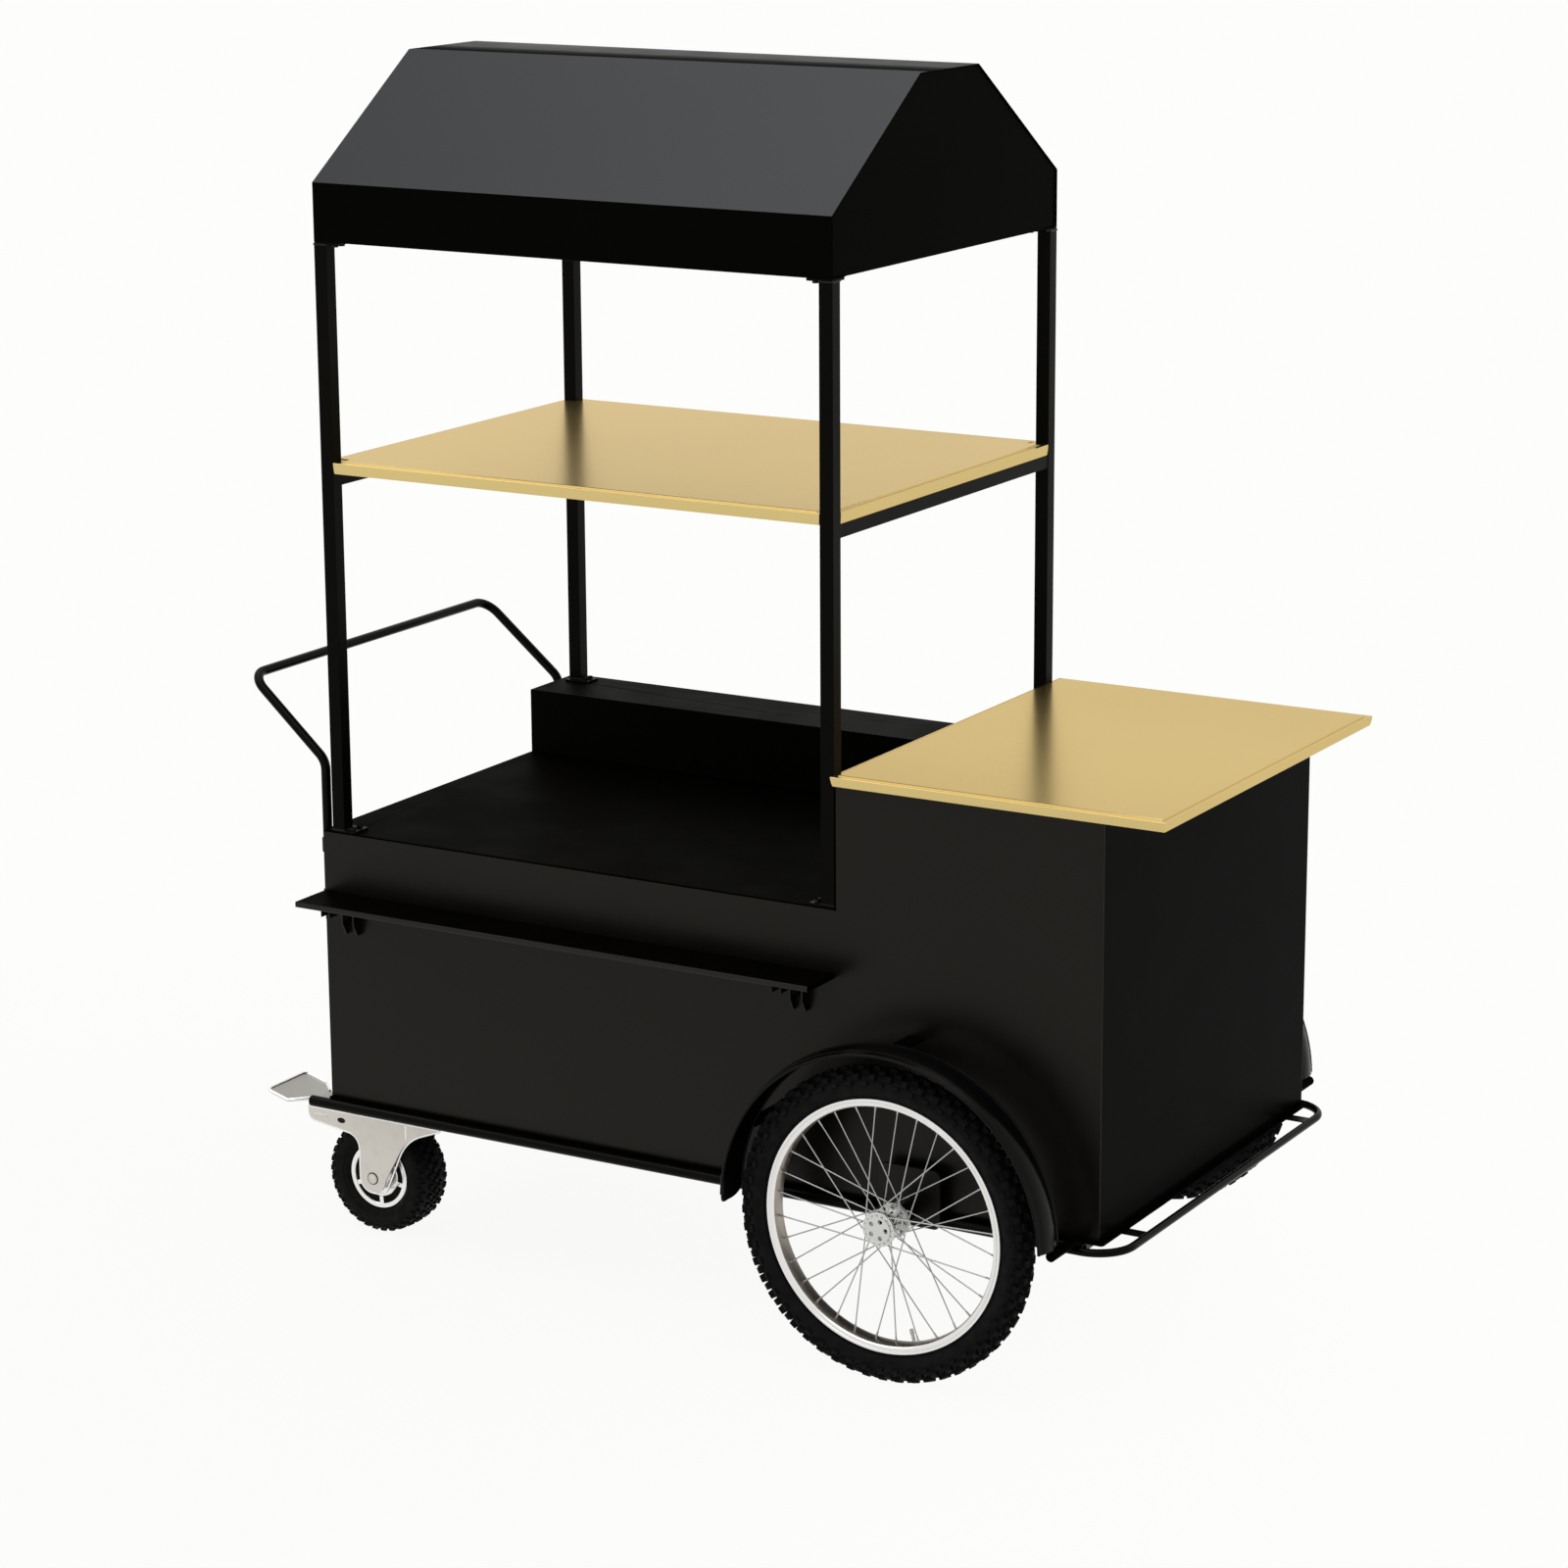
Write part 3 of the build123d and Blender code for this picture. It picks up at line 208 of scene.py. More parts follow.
looks = {
    "black_coat": powder_coat("black_coat", (0.0028, 0.0024, 0.0018), 0.18),
    # The roof's sloping faces get a painted sheen, a pale grey that grows paler to the right
    "roof_coat": powder_coat(
        "roof_coat", (0.0026, 0.0026, 0.002), 0.004, slope_sheen=(0.058, 0.0592, 0.0615)
    ),
    "gold_plate": satin_metal(
        "gold_plate", (0.65, 0.505, 0.21), 0.24,
        uneven=0.004, edge=(0.92, 0.81, 0.63), cloud_scale=1.3, cloudy=0.05,
    ),
    "rim_steel": satin_metal("rim_steel", (0.78, 0.77, 0.76), 0.26),
    "spoke_steel": satin_metal("spoke_steel", (0.4, 0.4, 0.4), 0.26),
    "hub_alloy": satin_metal("hub_alloy", (0.6, 0.6, 0.58), 0.2),
    "big_tyre": rubber("big_tyre", (0.0014, 0.0014, 0.0013)),
    "caster_zinc": satin_metal("caster_zinc", (0.55, 0.54, 0.52), 0.32),
    "caster_white": enamel("caster_white", (0.7, 0.67, 0.62)),
    "caster_rubber": rubber("caster_rubber", (0.0022, 0.002, 0.0018)),
    "pedal_plate": satin_metal("pedal_plate", (0.36, 0.345, 0.32), 0.4),
    "bolt_steel": satin_metal("bolt_steel", (0.02, 0.02, 0.02), 0.45, edge=(0.2, 0.2, 0.2)),
}

# Lit and shaded copies of the black coat by where it sits: darker, duller copies paint shade on the deck, the fold
# shelf, the fender brackets, the base plate, the ends, the ledge, the posts and the tubes; the fenders get a
# glossier copy, and the fold shelf's front edge a lit copy with the most sheen
lit_and_shaded_coats = {
    "deck": powder_coat("black_coat_shaded_deck", (0.0011, 0.0009, 0.0006), 0.004, (0.5, 0.6)),
    "end": powder_coat("black_coat_shaded_end", (0.0024, 0.0022, 0.0018), 0.006),
    "matt": powder_coat("black_coat_shaded_matt", (0.0021, 0.0019, 0.0013), 0.013, (0.5, 0.6)),
    "post": powder_coat("black_coat_shaded_post", (0.002, 0.0019, 0.0015), 0.035, (0.3, 0.4)),
    "tube": powder_coat("black_coat_shaded_tube", (0.0014, 0.0014, 0.0014), 0.06, (0.2, 0.28)),
    "gloss": powder_coat("black_coat_gloss", (0.0014, 0.0014, 0.0015), 0.1, (0.17, 0.24)),
    "edge": powder_coat("black_coat_edge", (0.0014, 0.0013, 0.0011), 0.25, (0.35, 0.45)),
}
coated = {
    "deck": ("deck", "fold_leaf", "fender_brackets", "base_plate"),
    "end": ("right_end_panel", "left_end_panel"),
    "matt": ("ledge", "step_wall"),
    "post": ("front_posts", "back_posts", "shelf_rails"),
    "tube": ("side_tubes", "bumper", "handle", "handle_clamps"),
    "gloss": ("front_fender", "back_fender"),
}
coat_of = {node_name: lit_and_shaded_coats[coat] for coat, names in coated.items() for node_name in names}
# The gables take the roof's darker coat, which paints shade on them
coat_of["roof_gables"] = looks["roof_coat"]
# A darker, duller copy of the rim steel that paints the shade in the rim's well
rim_well_shade = satin_metal("rim_well_shade", (0.4, 0.36, 0.31), 0.4)
# A paler, glossier copy of the caster's enamel that paints highlights on its rolled edges, rims and pedal borders
painted_highlight_metal = satin_metal("painted_highlight_metal", (0.86, 0.85, 0.84), 0.22)

EDGE_ROUND = 0.7 * MM
ROOF_EDGE_ROUND = 1.6 * MM
EDGE_ANGLE = math.radians(40)
JOIN_GAP = 0.01 * MM
NORMAL_WEIGHT = 60


def dress_frame():
    """Give every CAD node its material, and soft edges to all but the spokes."""
    for part in frame["record"]["subparts"]:
        shown = nodes[part["node"]]
        shown.data.materials.clear()
        shown.data.materials.append(coat_of.get(part["node"], looks[part["material_slot"]]))
        if part["node"].endswith("spokes"):
            continue
        join = shown.modifiers.new("join", "WELD")
        join.merge_threshold = JOIN_GAP
        edge = shown.modifiers.new("edges", "BEVEL")
        edge.width = ROOF_EDGE_ROUND if part["node"].startswith("roof") else EDGE_ROUND
        edge.segments = 2
        edge.limit_method = "ANGLE"
        edge.angle_limit = EDGE_ANGLE
        even = shown.modifiers.new("even", "WEIGHTED_NORMAL")
        even.weight = NORMAL_WEIGHT


# Mesh tools: those that take a bmesh add to it
RING_STEPS = 8
CORNER_STEPS = 8
DOME_STEPS = 3
QUARTER_TILTS = range(0, 91, 15)


def circle(count):
    """Equal turns round a circle."""
    return [2 * math.pi * k / count for k in range(count)]


def polar(radius, turn, height=0.0):
    """A point by its radius, turn and height about the z axis."""
    return Vector((radius * math.cos(turn), radius * math.sin(turn), height))


def at_mm(x, y, z):
    """A place at a point in metres, in which sizes are in mm."""
    return Matrix.Translation((x, y, z)) @ Matrix.Scale(MM, 4)


def toward(start, direction):
    """A place at start whose z axis points along direction."""
    turn = Vector(direction).to_track_quat("Z", "Y").to_matrix().to_4x4()
    return Matrix.Translation(start) @ turn


def path_on(place, points):
    return [place @ Vector(p) for p in points]


def add_points(bm, place, points):
    return [bm.verts.new(p) for p in path_on(place, points)]


def band(bm, low, high):
    """Faces all round between two rings of points."""
    for i in range(len(low)):
        j = (i + 1) % len(low)
        bm.faces.new((low[i], low[j], high[j], high[i]))


def section(points, side=1, scale=1.0):
    """A profile of (radius, height) points on one side, or its mirror image on the other."""
    return [(scale * r, scale * side * h) for r, h in points]


def ring_profile(radius, height, size):
    """A small round section for a ring about an axle."""
    return [(radius + size * math.cos(a), height + size * math.sin(a)) for a in circle(RING_STEPS)]


def sweep_round(bm, profile, place, steps):
    """Turn a closed profile of (radius, height) points about the z axis of place."""
    rings = [add_points(bm, place, [polar(r, turn, h) for r, h in profile]) for turn in circle(steps)]
    for k, ring in enumerate(rings):
        following = rings[(k + 1) % steps]
        for i in range(len(ring)):
            j = (i + 1) % len(ring)
            bm.faces.new((ring[i], following[i], following[j], ring[j]))


def block(bm, place, size, taper):
    """A block standing on the xy plane of place; taper narrows its top."""
    x, y, height = size[0] / 2, size[1] / 2, size[2]
    corners = ((-x, -y), (x, -y), (x, y), (-x, y))
    low = add_points(bm, place, [(a, b, 0) for a, b in corners])
    high = add_points(bm, place, [(taper * a, taper * b, height) for a, b in corners])
    bm.faces.new(high)
    bm.faces.new(low[::-1])
    band(bm, low, high)


def prism(bm, place, radius, height, sides, top=None):
    """A round or many-sided stud standing on the xy plane of place; top is its upper radius."""
    top = radius if top is None else top
    low = add_points(bm, place, [polar(radius, turn) for turn in circle(sides)])
    high = add_points(bm, place, [polar(top, turn, height) for turn in circle(sides)])
    bm.faces.new(high)
    bm.faces.new(low[::-1])
    band(bm, low, high)


def rod(bm, start, end, radius, end_radius=None, sides=10):
    """A straight bar between two points."""
    run = Vector(end) - Vector(start)
    prism(bm, toward(start, run), radius, run.length, sides, end_radius)


def wire(bm, points, radius, sides=8, closed=False):
    """A round wire through points."""
    count = len(points)
    rings = []
    for k, point in enumerate(points):
        before = points[k - 1] if closed or k else point
        after = points[(k + 1) % count] if closed or k < count - 1 else point
        place = toward(point, after - before)
        rings.append(add_points(bm, place, [polar(radius, turn) for turn in circle(sides)]))
    for k in range(count if closed else count - 1):
        band(bm, rings[k], rings[(k + 1) % count])
    if not closed:
        bm.faces.new(rings[0][::-1])
        bm.faces.new(rings[-1])


def dome(bm, place, radius, height, sides=14):
    """A rivet or bolt head that stands on the xy plane of place."""
    rings = []
    for step in range(DOME_STEPS):
        tilt = math.pi / 2 * step / DOME_STEPS
        r, h = radius * math.cos(tilt), height * math.sin(tilt)
        rings.append(add_points(bm, place, [polar(r, turn, h) for turn in circle(sides)]))
    tip = bm.verts.new(place @ Vector((0, 0, height)))
    for low, high in zip(rings, rings[1:]):
        band(bm, low, high)
    for i in range(sides):
        bm.faces.new((rings[-1][i], rings[-1][(i + 1) % sides], tip))
    bm.faces.new(rings[0][::-1])


def rounded(corners):
    """Points along a flat path of (x, y, corner radius); its two ends stay sharp."""
    path = [Vector(corners[0][:2])]
    for before, (x, y, radius), after in zip(corners, corners[1:], corners[2:]):
        here = Vector((x, y))
        if not radius:
            path.append(here)
            continue
        back = (Vector(before[:2]) - here).normalized()
        ahead = (Vector(after[:2]) - here).normalized()
        half = back.angle(ahead) / 2
        centre = here + (back + ahead).normalized() * radius / math.sin(half)
        first = here + back * radius / math.tan(half) - centre
        last = here + ahead * radius / math.tan(half) - centre
        turn = first.angle_signed(last)
        for step in range(CORNER_STEPS + 1):
            path.append(centre + Matrix.Rotation(-turn * step / CORNER_STEPS, 2) @ first)
    return path + [Vector(corners[-1][:2])]


def show(bm, name, body, slot, stands_for=None, sharp=35, finish=None):
    """Close the bmesh into a piece that rides on a body, in a slot's finish or one of its own."""
    bmesh.ops.recalc_face_normals(bm, faces=bm.faces)
    mesh = bpy.data.meshes.new(name)
    bm.to_mesh(mesh)
    bm.free()
    mesh.polygons.foreach_set("use_smooth", [True] * len(mesh.polygons))
    mesh.set_sharp_from_angle(angle=math.radians(sharp))
    mesh.materials.append(finish or looks[slot])
    piece = bpy.data.objects.new(name, mesh)
    bpy.context.scene.collection.objects.link(piece)
    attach(piece, body)
    if stands_for:
        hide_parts(stands_for)


# Spoked wheels; sections are (radius, height along the axle) in mm
TYRE_SECTION_R = 22.0 * MM
TYRE_MIDDLE_R = 249.6 * MM - TYRE_SECTION_R
TYRE_BEAD = ((203, 13), (212, 13.6), (213, 16.4))
TREAD_TILT = 64
TREAD_STEPS = 18
WALL_TILTS = (76, 88, 100)
# Rows of tread blocks: (offset, tilt from the crown, height, length, width), mm and degrees
KNOB_ROWS = ((0, 0, 8.2, 13, 9), (0, 25, 8.0, 14, 9), (0, 50, 7.0, 12, 9), (0, 73, 4.2, 13, 7))
KNOBS_ROUND = 54
KNOB_ROOT = 1.2
KNOB_TAPER = 0.82
RIM_INNER_R = 190 * MM
RIM_FACE = (
    (208, 15.0), (207.4, 16), (203.6, 16), (203, 15.2), (202.2, 15.2), (201.6, 16), (197, 15.6),
    (195.4, 14.2), (195.4, 12), (205, 12), (205, 13), (208, 13),
)
RIM_BED = ((195.2, -13), (193.6, -9), (193.6, 9), (195.2, 13), (199, 13), (199, -13))
RIM_STEPS = 128
# Rings: (radius, height, radius of the wire)
HUB_RINGS = ((21.4, 28.8, 0.8), (27.2, 23.5, 1.4), (17.6, 18.6, 1.4))
FLANGE_LOW = 20 * MM
FLANGE_HIGH = 27 * MM
SPOKES_PER_FLANGE = 16
SPOKE_LEAN = math.radians(45)
SPOKE_D = 2.2 * MM
SPOKE_HUB_R = 29.2 * MM
SPOKE_RIM_R = 189.4 * MM
SPOKE_ELBOW = 6 * MM
SPOKE_HEAD_R = 2.3 * MM
SPOKE_HEAD = 1.4 * MM
NIPPLE_BACK = 5 * MM
NIPPLE_AHEAD = 6 * MM
NIPPLE_R = 1.9 * MM
NIPPLE_TIP_R = 1.5 * MM
VALVE_TURN = math.radians(-75)
# The valve's stem and cap: (start and end inside the rim, radius at each)
VALVE = ((0, 12, 2.6, 2.6), (11, 19, 3.4, 3.0))


def wheel_place(name, side):
    """The wheel's own directions: z outward along the axle."""
    centre = Vector(joints[f"{name}_wheel_spin"]["pos_m"])
    out = Vector((0, side, 0))
    across = Vector((1, 0, 0))
    up = out.cross(across)
    turn = Matrix((across, up, out)).transposed().to_4x4()
    return Matrix.Translation(centre) @ turn


def tyre_profile():
    """The tyre's outer skin from bead to bead, with a moulded line near each bead."""
    tread = [TREAD_TILT * (2 * k / TREAD_STEPS - 1) for k in range(TREAD_STEPS + 1)]
    skin = section(TYRE_BEAD, -1, MM)
    for tilt in (*[-t for t in reversed(WALL_TILTS)], *tread, *WALL_TILTS):
        a = math.radians(tilt)
        skin.append((TYRE_MIDDLE_R + TYRE_SECTION_R * math.cos(a), TYRE_SECTION_R * math.sin(a)))
    return skin + section(TYRE_BEAD[::-1], 1, MM)


def add_knobs(bm, place, middle, section_r, rows, count):
    """Rows of tread blocks round a tyre, mirrored off its middle; every other row is set back by half."""
    pitch = 2 * math.pi / count
    for row, (offset, tilt, height, length, width) in enumerate(rows):
        size = (width * MM, length * MM, (height + KNOB_ROOT) * MM)
        for way in (1, -1) if tilt or offset else (1,):
            lean = Matrix.Rotation(math.radians(90 - way * tilt), 4, "Y")
            seat = Matrix.Translation((middle, 0, way * offset * MM)) @ lean
            seat = seat @ Matrix.Translation((0, 0, section_r - KNOB_ROOT * MM))
            for k in range(count):
                turn = Matrix.Rotation(pitch * (k + (row % 2) / 2), 4, "Z")
                block(bm, place @ turn @ seat, size, KNOB_TAPER)


def add_tyre(name, place):
    bm = bmesh.new()
    sweep_round(bm, tyre_profile(), place, steps=120)
    add_knobs(bm, place, TYRE_MIDDLE_R, TYRE_SECTION_R, KNOB_ROWS, KNOBS_ROUND)
    show(bm, f"{name}_tyre_knobby", f"{name}_wheel", "big_tyre", f"{name}_wheel_tyre", sharp=30)


def spoke_ends():
    """(hub end, rim end, side) of every spoke, in the wheel's directions."""
    step = 2 * math.pi / SPOKES_PER_FLANGE
    low = FLANGE_LOW + SPOKE_D / 2
    high = FLANGE_HIGH - SPOKE_D / 2
    for side in (-1, 1):
        for k in range(SPOKES_PER_FLANGE):
            at = step * (k + side / 4)
            lean, height = (SPOKE_LEAN, low) if k % 2 else (-SPOKE_LEAN, high)
            hub_end = polar(SPOKE_HUB_R, at, side * height)
            rim_end = polar(SPOKE_RIM_R, at + lean, side * SPOKE_D)
            yield hub_end, rim_end, side


def add_spoke_fittings(name, place):
    """Nipples at the rim, elbows and heads at the hub, and the valve."""
    bm = bmesh.new()
    for hub_end, rim_end, side in spoke_ends():
        run = (hub_end - rim_end).normalized()
        root, tip = rim_end - NIPPLE_BACK * run, rim_end + NIPPLE_AHEAD * run
        rod(bm, place @ root, place @ tip, NIPPLE_R, NIPPLE_TIP_R, sides=8)
        outward = Vector((hub_end.x, hub_end.y, 0)).normalized()
        seat = hub_end - SPOKE_ELBOW * outward
        face = Vector((seat.x, seat.y, side * FLANGE_HIGH))
        rod(bm, place @ hub_end, place @ seat, SPOKE_D / 2, sides=8)
        dome(bm, place @ toward(face, (0, 0, side)), SPOKE_HEAD_R, SPOKE_HEAD, sides=10)
    for start, stop, radius, end_radius in VALVE:
        ends = [place @ polar(RIM_INNER_R - depth * MM, VALVE_TURN) for depth in (start, stop)]
        rod(bm, *ends, radius * MM, end_radius * MM, sides=12)
    show(bm, f"{name}_spoke_fittings", f"{name}_wheel", "spoke_steel")


def add_rim(name, place):
    """A bright stepped face on each side of the rim, and the well between for the nipples in a darker copy of the
    steel that paints its shade.
    """
    faces, well = bmesh.new(), bmesh.new()
    for side in (-1, 1):
        sweep_round(faces, section(RIM_FACE, side, MM), place, RIM_STEPS)
    sweep_round(well, section(RIM_BED, 1, MM), place, RIM_STEPS)
    show(faces, f"{name}_rim_faces", f"{name}_wheel", "rim_steel", f"{name}_wheel_rim")
    show(well, f"{name}_rim_well_shade", f"{name}_wheel", "rim_steel", finish=rim_well_shade)


def add_hub_rings(name, place):
    """Turned rings beside each flange and a rim round the end cap."""
    bm = bmesh.new()
    for radius, height, size in HUB_RINGS:
        for side in (-1, 1):
            ring = ring_profile(radius * MM, side * height * MM, size * MM)
            sweep_round(bm, ring, place, steps=48)
    show(bm, f"{name}_hub_rings", f"{name}_wheel", "hub_alloy")


def add_wheels():
    for name, side in (("front", -1), ("back", 1)):
        place = wheel_place(name, side)
        add_tyre(name, place)
        add_spoke_fittings(name, place)
        add_rim(name, place)
        add_hub_rings(name, place)


# Casters, in mm from the swivel axis at the floor; rows, rings and sections as for the wheels
CASTER_R = 101.5
CASTER_TRAIL = 30.0
CASTER_CHEEK = 47.0
CASTER_RIM_R = 58.0
CASTER_TREAD_R = 96.5
CASTER_HALF = 40.0
CASTER_SHOULDER = 16.2
CASTER_KNOBS = 34
CASTER_ROWS = ((0, 0, 5.0, 9, 11), (13, 0, 4.4, 10, 10), (23.8, 28, 3.6, 9, 9), (23.8, 55, 2.6, 9, 7))
CASTER_WALL_RING = (69, 39.2, 1.0)
CASTER_BARREL = ((20, -40.5), (20, 40.5), (6.3, 40.5), (6.3, -40.5))
CASTER_OUTER = ((49, 12), (49, 29), (49.8, 30), (56.8, 30.6), (58, 29.8), (58, 12))
CASTER_INNER = ((20, 28), (36.5, 28), (37.5, 27), (37.5, 12), (20, 12))
# A dark sheet inside the rim, behind its windows: painted shade
CASTER_SHADE_SHEET = ((30, 25.5), (52, 25.5), (52, 22), (30, 22))
CASTER_WINDOWS = 5
CASTER_WINDOW_START = 24.0
CASTER_BAR = (14, 8, 17.5)
CASTER_BAR_AT = (43.5, 0, 12)
CASTER_BAR_TAPER = 0.95
AXLE_R = 6.0
AXLE_PAST = 1.2
BOLT_CAP_R = 9.6
BOLT_CAP_TOP_R = 9.0
BOLT_CAP = 1.6
BOLT_RING = (6.6, 1.6, 0.8)
BOLT_TIP_R = 4.2
BOLT_TIP = 1.2
BOLT_OUTLINE = (10.2, 0.2, 0.8)
PIVOT = (-93.0, 196.0)
PIVOT_R = 4.0
# A dark stretched disc round the pedal pin on each wing: painted shade of the slot it turns in
EYE_R = 6.4
EYE_TOP_R = 5.8
EYE_OUT = 0.7
EYE_STRETCH = (1.3, 0.75, 1, 1)
RIDGE_REACH = range(-150, -121, 4)
RIDGE_Z = 201.8
RIDGE_SLOPE = 0.02
RIDGE_SINK = 1.2
RIDGE_R = 2.4
FORK_TOP = 212.0
# The fork's outline: (x, z, corner radius)
FORK_EDGE = (
    (-161, 212, 0), (-161, 188, 14), (-56, 174, 26), (-56, 75.5, 25.9), (-4, 75.5, 25.9),
    (42, 182, 80), (112, 209, 0), (112, 212, 0),
)
FORK_HEM = range(-159, 112, 10)
FORK_HEM_DROP = 0.6
FORK_HEM_SINK = 0.9
FORK_HEM_R = 1.8
FORK_FOLD = ((42.0, 184.0), (42.0, 210.0))
FORK_FOLD_SINK = 0.4
FORK_FOLD_R = 1.6
PLATE_UNDER = 228.0
PLATE_BOLTS = (-40, 40)
WASHER_R = 8.0
WASHER = 1.2
NUT_R = 5.8
NUT = 4.5
PEDAL_FOLD = (-200.0, 218.0)
PEDAL_TIP = (-243.0, 230.0)
PEDAL_NECK = (-165.0, 20.0)
PEDAL_HALF = 55.0
PEDAL_CORNER = 10.0
PEDAL_BORDER_R = 2.6


def caster_place(name):
    """The caster's swivel axis on the floor."""
    spot = Vector(joints[f"{name}_caster_swivel"]["pos_m"])
    return at_mm(spot.x, spot.y, 0)


def caster_tyre_profile():
    """A fat section with round shoulders."""
    flat = CASTER_HALF - CASTER_SHOULDER
    low = CASTER_RIM_R + CASTER_SHOULDER
    high = CASTER_TREAD_R - CASTER_SHOULDER
    skin = []
    for centre_r, centre_h, start in (
        (low, -flat, 180), (high, -flat, 270), (high, flat, 0), (low, flat, 90)
    ):
        for tilt in QUARTER_TILTS:
            a = math.radians(start + tilt)
            r, h = CASTER_SHOULDER * math.cos(a), CASTER_SHOULDER * math.sin(a)
            skin.append((centre_r + r, centre_h + h))
    return skin


def add_caster_wheel(name, place):
    """The knobby tyre with a ring on each wall, and its rim."""
    hub = place @ Matrix.Translation((-CASTER_TRAIL, 0, CASTER_R))
    axle = hub @ Matrix.Rotation(math.pi / 2, 4, "X")
    body = f"{name}_caster_wheel"
    bm = bmesh.new()
    sweep_round(bm, caster_tyre_profile(), axle, steps=72)
    radius, height, size = CASTER_WALL_RING
    for side in (-1, 1):
        sweep_round(bm, ring_profile(radius, side * height, size), axle, steps=60)
    metres = axle @ Matrix.Scale(1 / MM, 4)
    middle = (CASTER_TREAD_R - CASTER_SHOULDER) * MM
    add_knobs(bm, metres, middle, CASTER_SHOULDER * MM, CASTER_ROWS, CASTER_KNOBS)
    show(bm, f"{name}_caster_knobby", body, "caster_rubber", f"{name}_caster_tyre", sharp=30)
    add_caster_rim(name, axle, body)


def add_caster_rim(name, axle, body):
    """A rim in a paler copy of the enamel that paints its highlight, whose web has five long windows on each side,
    over a dark sheet that paints the shade inside.
    """
    rim, inside = bmesh.new(), bmesh.new()
    sweep_round(rim, CASTER_BARREL, axle, steps=48)
    for side in (-1, 1):
        sweep_round(rim, section(CASTER_OUTER, side), axle, steps=72)
        sweep_round(rim, section(CASTER_INNER, side), axle, steps=72)
        flip = Matrix.Rotation(math.pi * (side < 0), 4, "X")
        for k in range(CASTER_WINDOWS):
            turn = math.radians(CASTER_WINDOW_START + (k + 0.5) * 360 / CASTER_WINDOWS)
            seat = axle @ flip @ Matrix.Rotation(turn, 4, "Z") @ Matrix.Translation(CASTER_BAR_AT)
            block(rim, seat, CASTER_BAR, CASTER_BAR_TAPER)
        sweep_round(inside, section(CASTER_SHADE_SHEET, side), axle, steps=48)
    show(
        rim, f"{name}_caster_rim_windows", body, "caster_white", f"{name}_caster_rim",
        finish=painted_highlight_metal,
    )
    show(inside, f"{name}_caster_rim_shade", body, "caster_rubber")


def add_caster_pins(name, place):
    """The axle bolt, a pressed ridge on each wing, and the dark pedal pin with a dark disc on each wing that
    paints the shade of its slot, and outlines of the bolts.
    """
    axle, pivot = bmesh.new(), bmesh.new()
    reach = CASTER_CHEEK + AXLE_PAST
    ends = path_on(place, [(-CASTER_TRAIL, y, CASTER_R) for y in (-reach, reach)])
    rod(axle, *ends, AXLE_R * MM)
    pin_x, pin_z = PIVOT
    ends = path_on(place, [(pin_x, y, pin_z) for y in (-CASTER_CHEEK, CASTER_CHEEK)])
    rod(pivot, *ends, PIVOT_R * MM)
    for side in (-1, 1):
        cheek = side * CASTER_CHEEK
        outward = Matrix.Rotation(-side * math.pi / 2, 4, "X")
        cap = place @ Matrix.Translation((-CASTER_TRAIL, cheek, CASTER_R)) @ outward
        prism(axle, cap, BOLT_CAP_R, BOLT_CAP, sides=32, top=BOLT_CAP_TOP_R)
        sweep_round(axle, ring_profile(*BOLT_RING), cap, steps=28)
        dome(axle, cap @ Matrix.Translation((0, 0, BOLT_CAP)), BOLT_TIP_R, BOLT_TIP, sides=18)
        sweep_round(pivot, ring_profile(*BOLT_OUTLINE), cap, steps=32)
        # A dark disc round the pin paints the shade of its slot
        slot_shade = place @ Matrix.Translation((pin_x, cheek, pin_z)) @ outward
        slot_shade = slot_shade @ Matrix.Diagonal(EYE_STRETCH)
        prism(pivot, slot_shade, EYE_R, EYE_OUT, sides=28, top=EYE_TOP_R)
        y = side * (CASTER_CHEEK - RIDGE_SINK)
        ridge = [(x, y, RIDGE_Z + RIDGE_SLOPE * x) for x in RIDGE_REACH]
        wire(axle, path_on(place, ridge), RIDGE_R * MM, sides=10)
    show(axle, f"{name}_axle_bolt", f"{name}_caster", "caster_white", f"{name}_caster_pins")
    show(pivot, f"{name}_pedal_pin", f"{name}_caster", "bolt_steel")


def add_caster_fork_trim(name, place):
    """The fork's rolled edge, hem and fold line, in a paler copy of the enamel that paints highlights along them,
    and the bolts of the plate above.
    """
    bm = bmesh.new()
    for side in (-1, 1):
        y = side * (CASTER_CHEEK - FORK_HEM_SINK)
        edge = [(p.x, y, p.y) for p in rounded(FORK_EDGE)]
        hem = [(x, y, FORK_TOP - FORK_HEM_DROP) for x in FORK_HEM]
        fold = [(x, side * (CASTER_CHEEK - FORK_FOLD_SINK), z) for x, z in FORK_FOLD]
        wire(bm, path_on(place, edge), FORK_HEM_R * MM)
        wire(bm, path_on(place, hem), FORK_HEM_R * MM)
        wire(bm, path_on(place, fold), FORK_FOLD_R * MM)
    show(bm, f"{name}_fork_ridges", f"{name}_caster", "caster_white", finish=painted_highlight_metal)
    bm = bmesh.new()
    for x in PLATE_BOLTS:
        for y in PLATE_BOLTS:
            seat = place @ Matrix.Translation((x, y, PLATE_UNDER)) @ Matrix.Rotation(math.pi, 4, "X")
            prism(bm, seat, WASHER_R, WASHER, sides=20)
            prism(bm, seat @ Matrix.Translation((0, 0, WASHER)), NUT_R, NUT, sides=6)
    show(bm, f"{name}_plate_bolts", "cart", "bolt_steel")


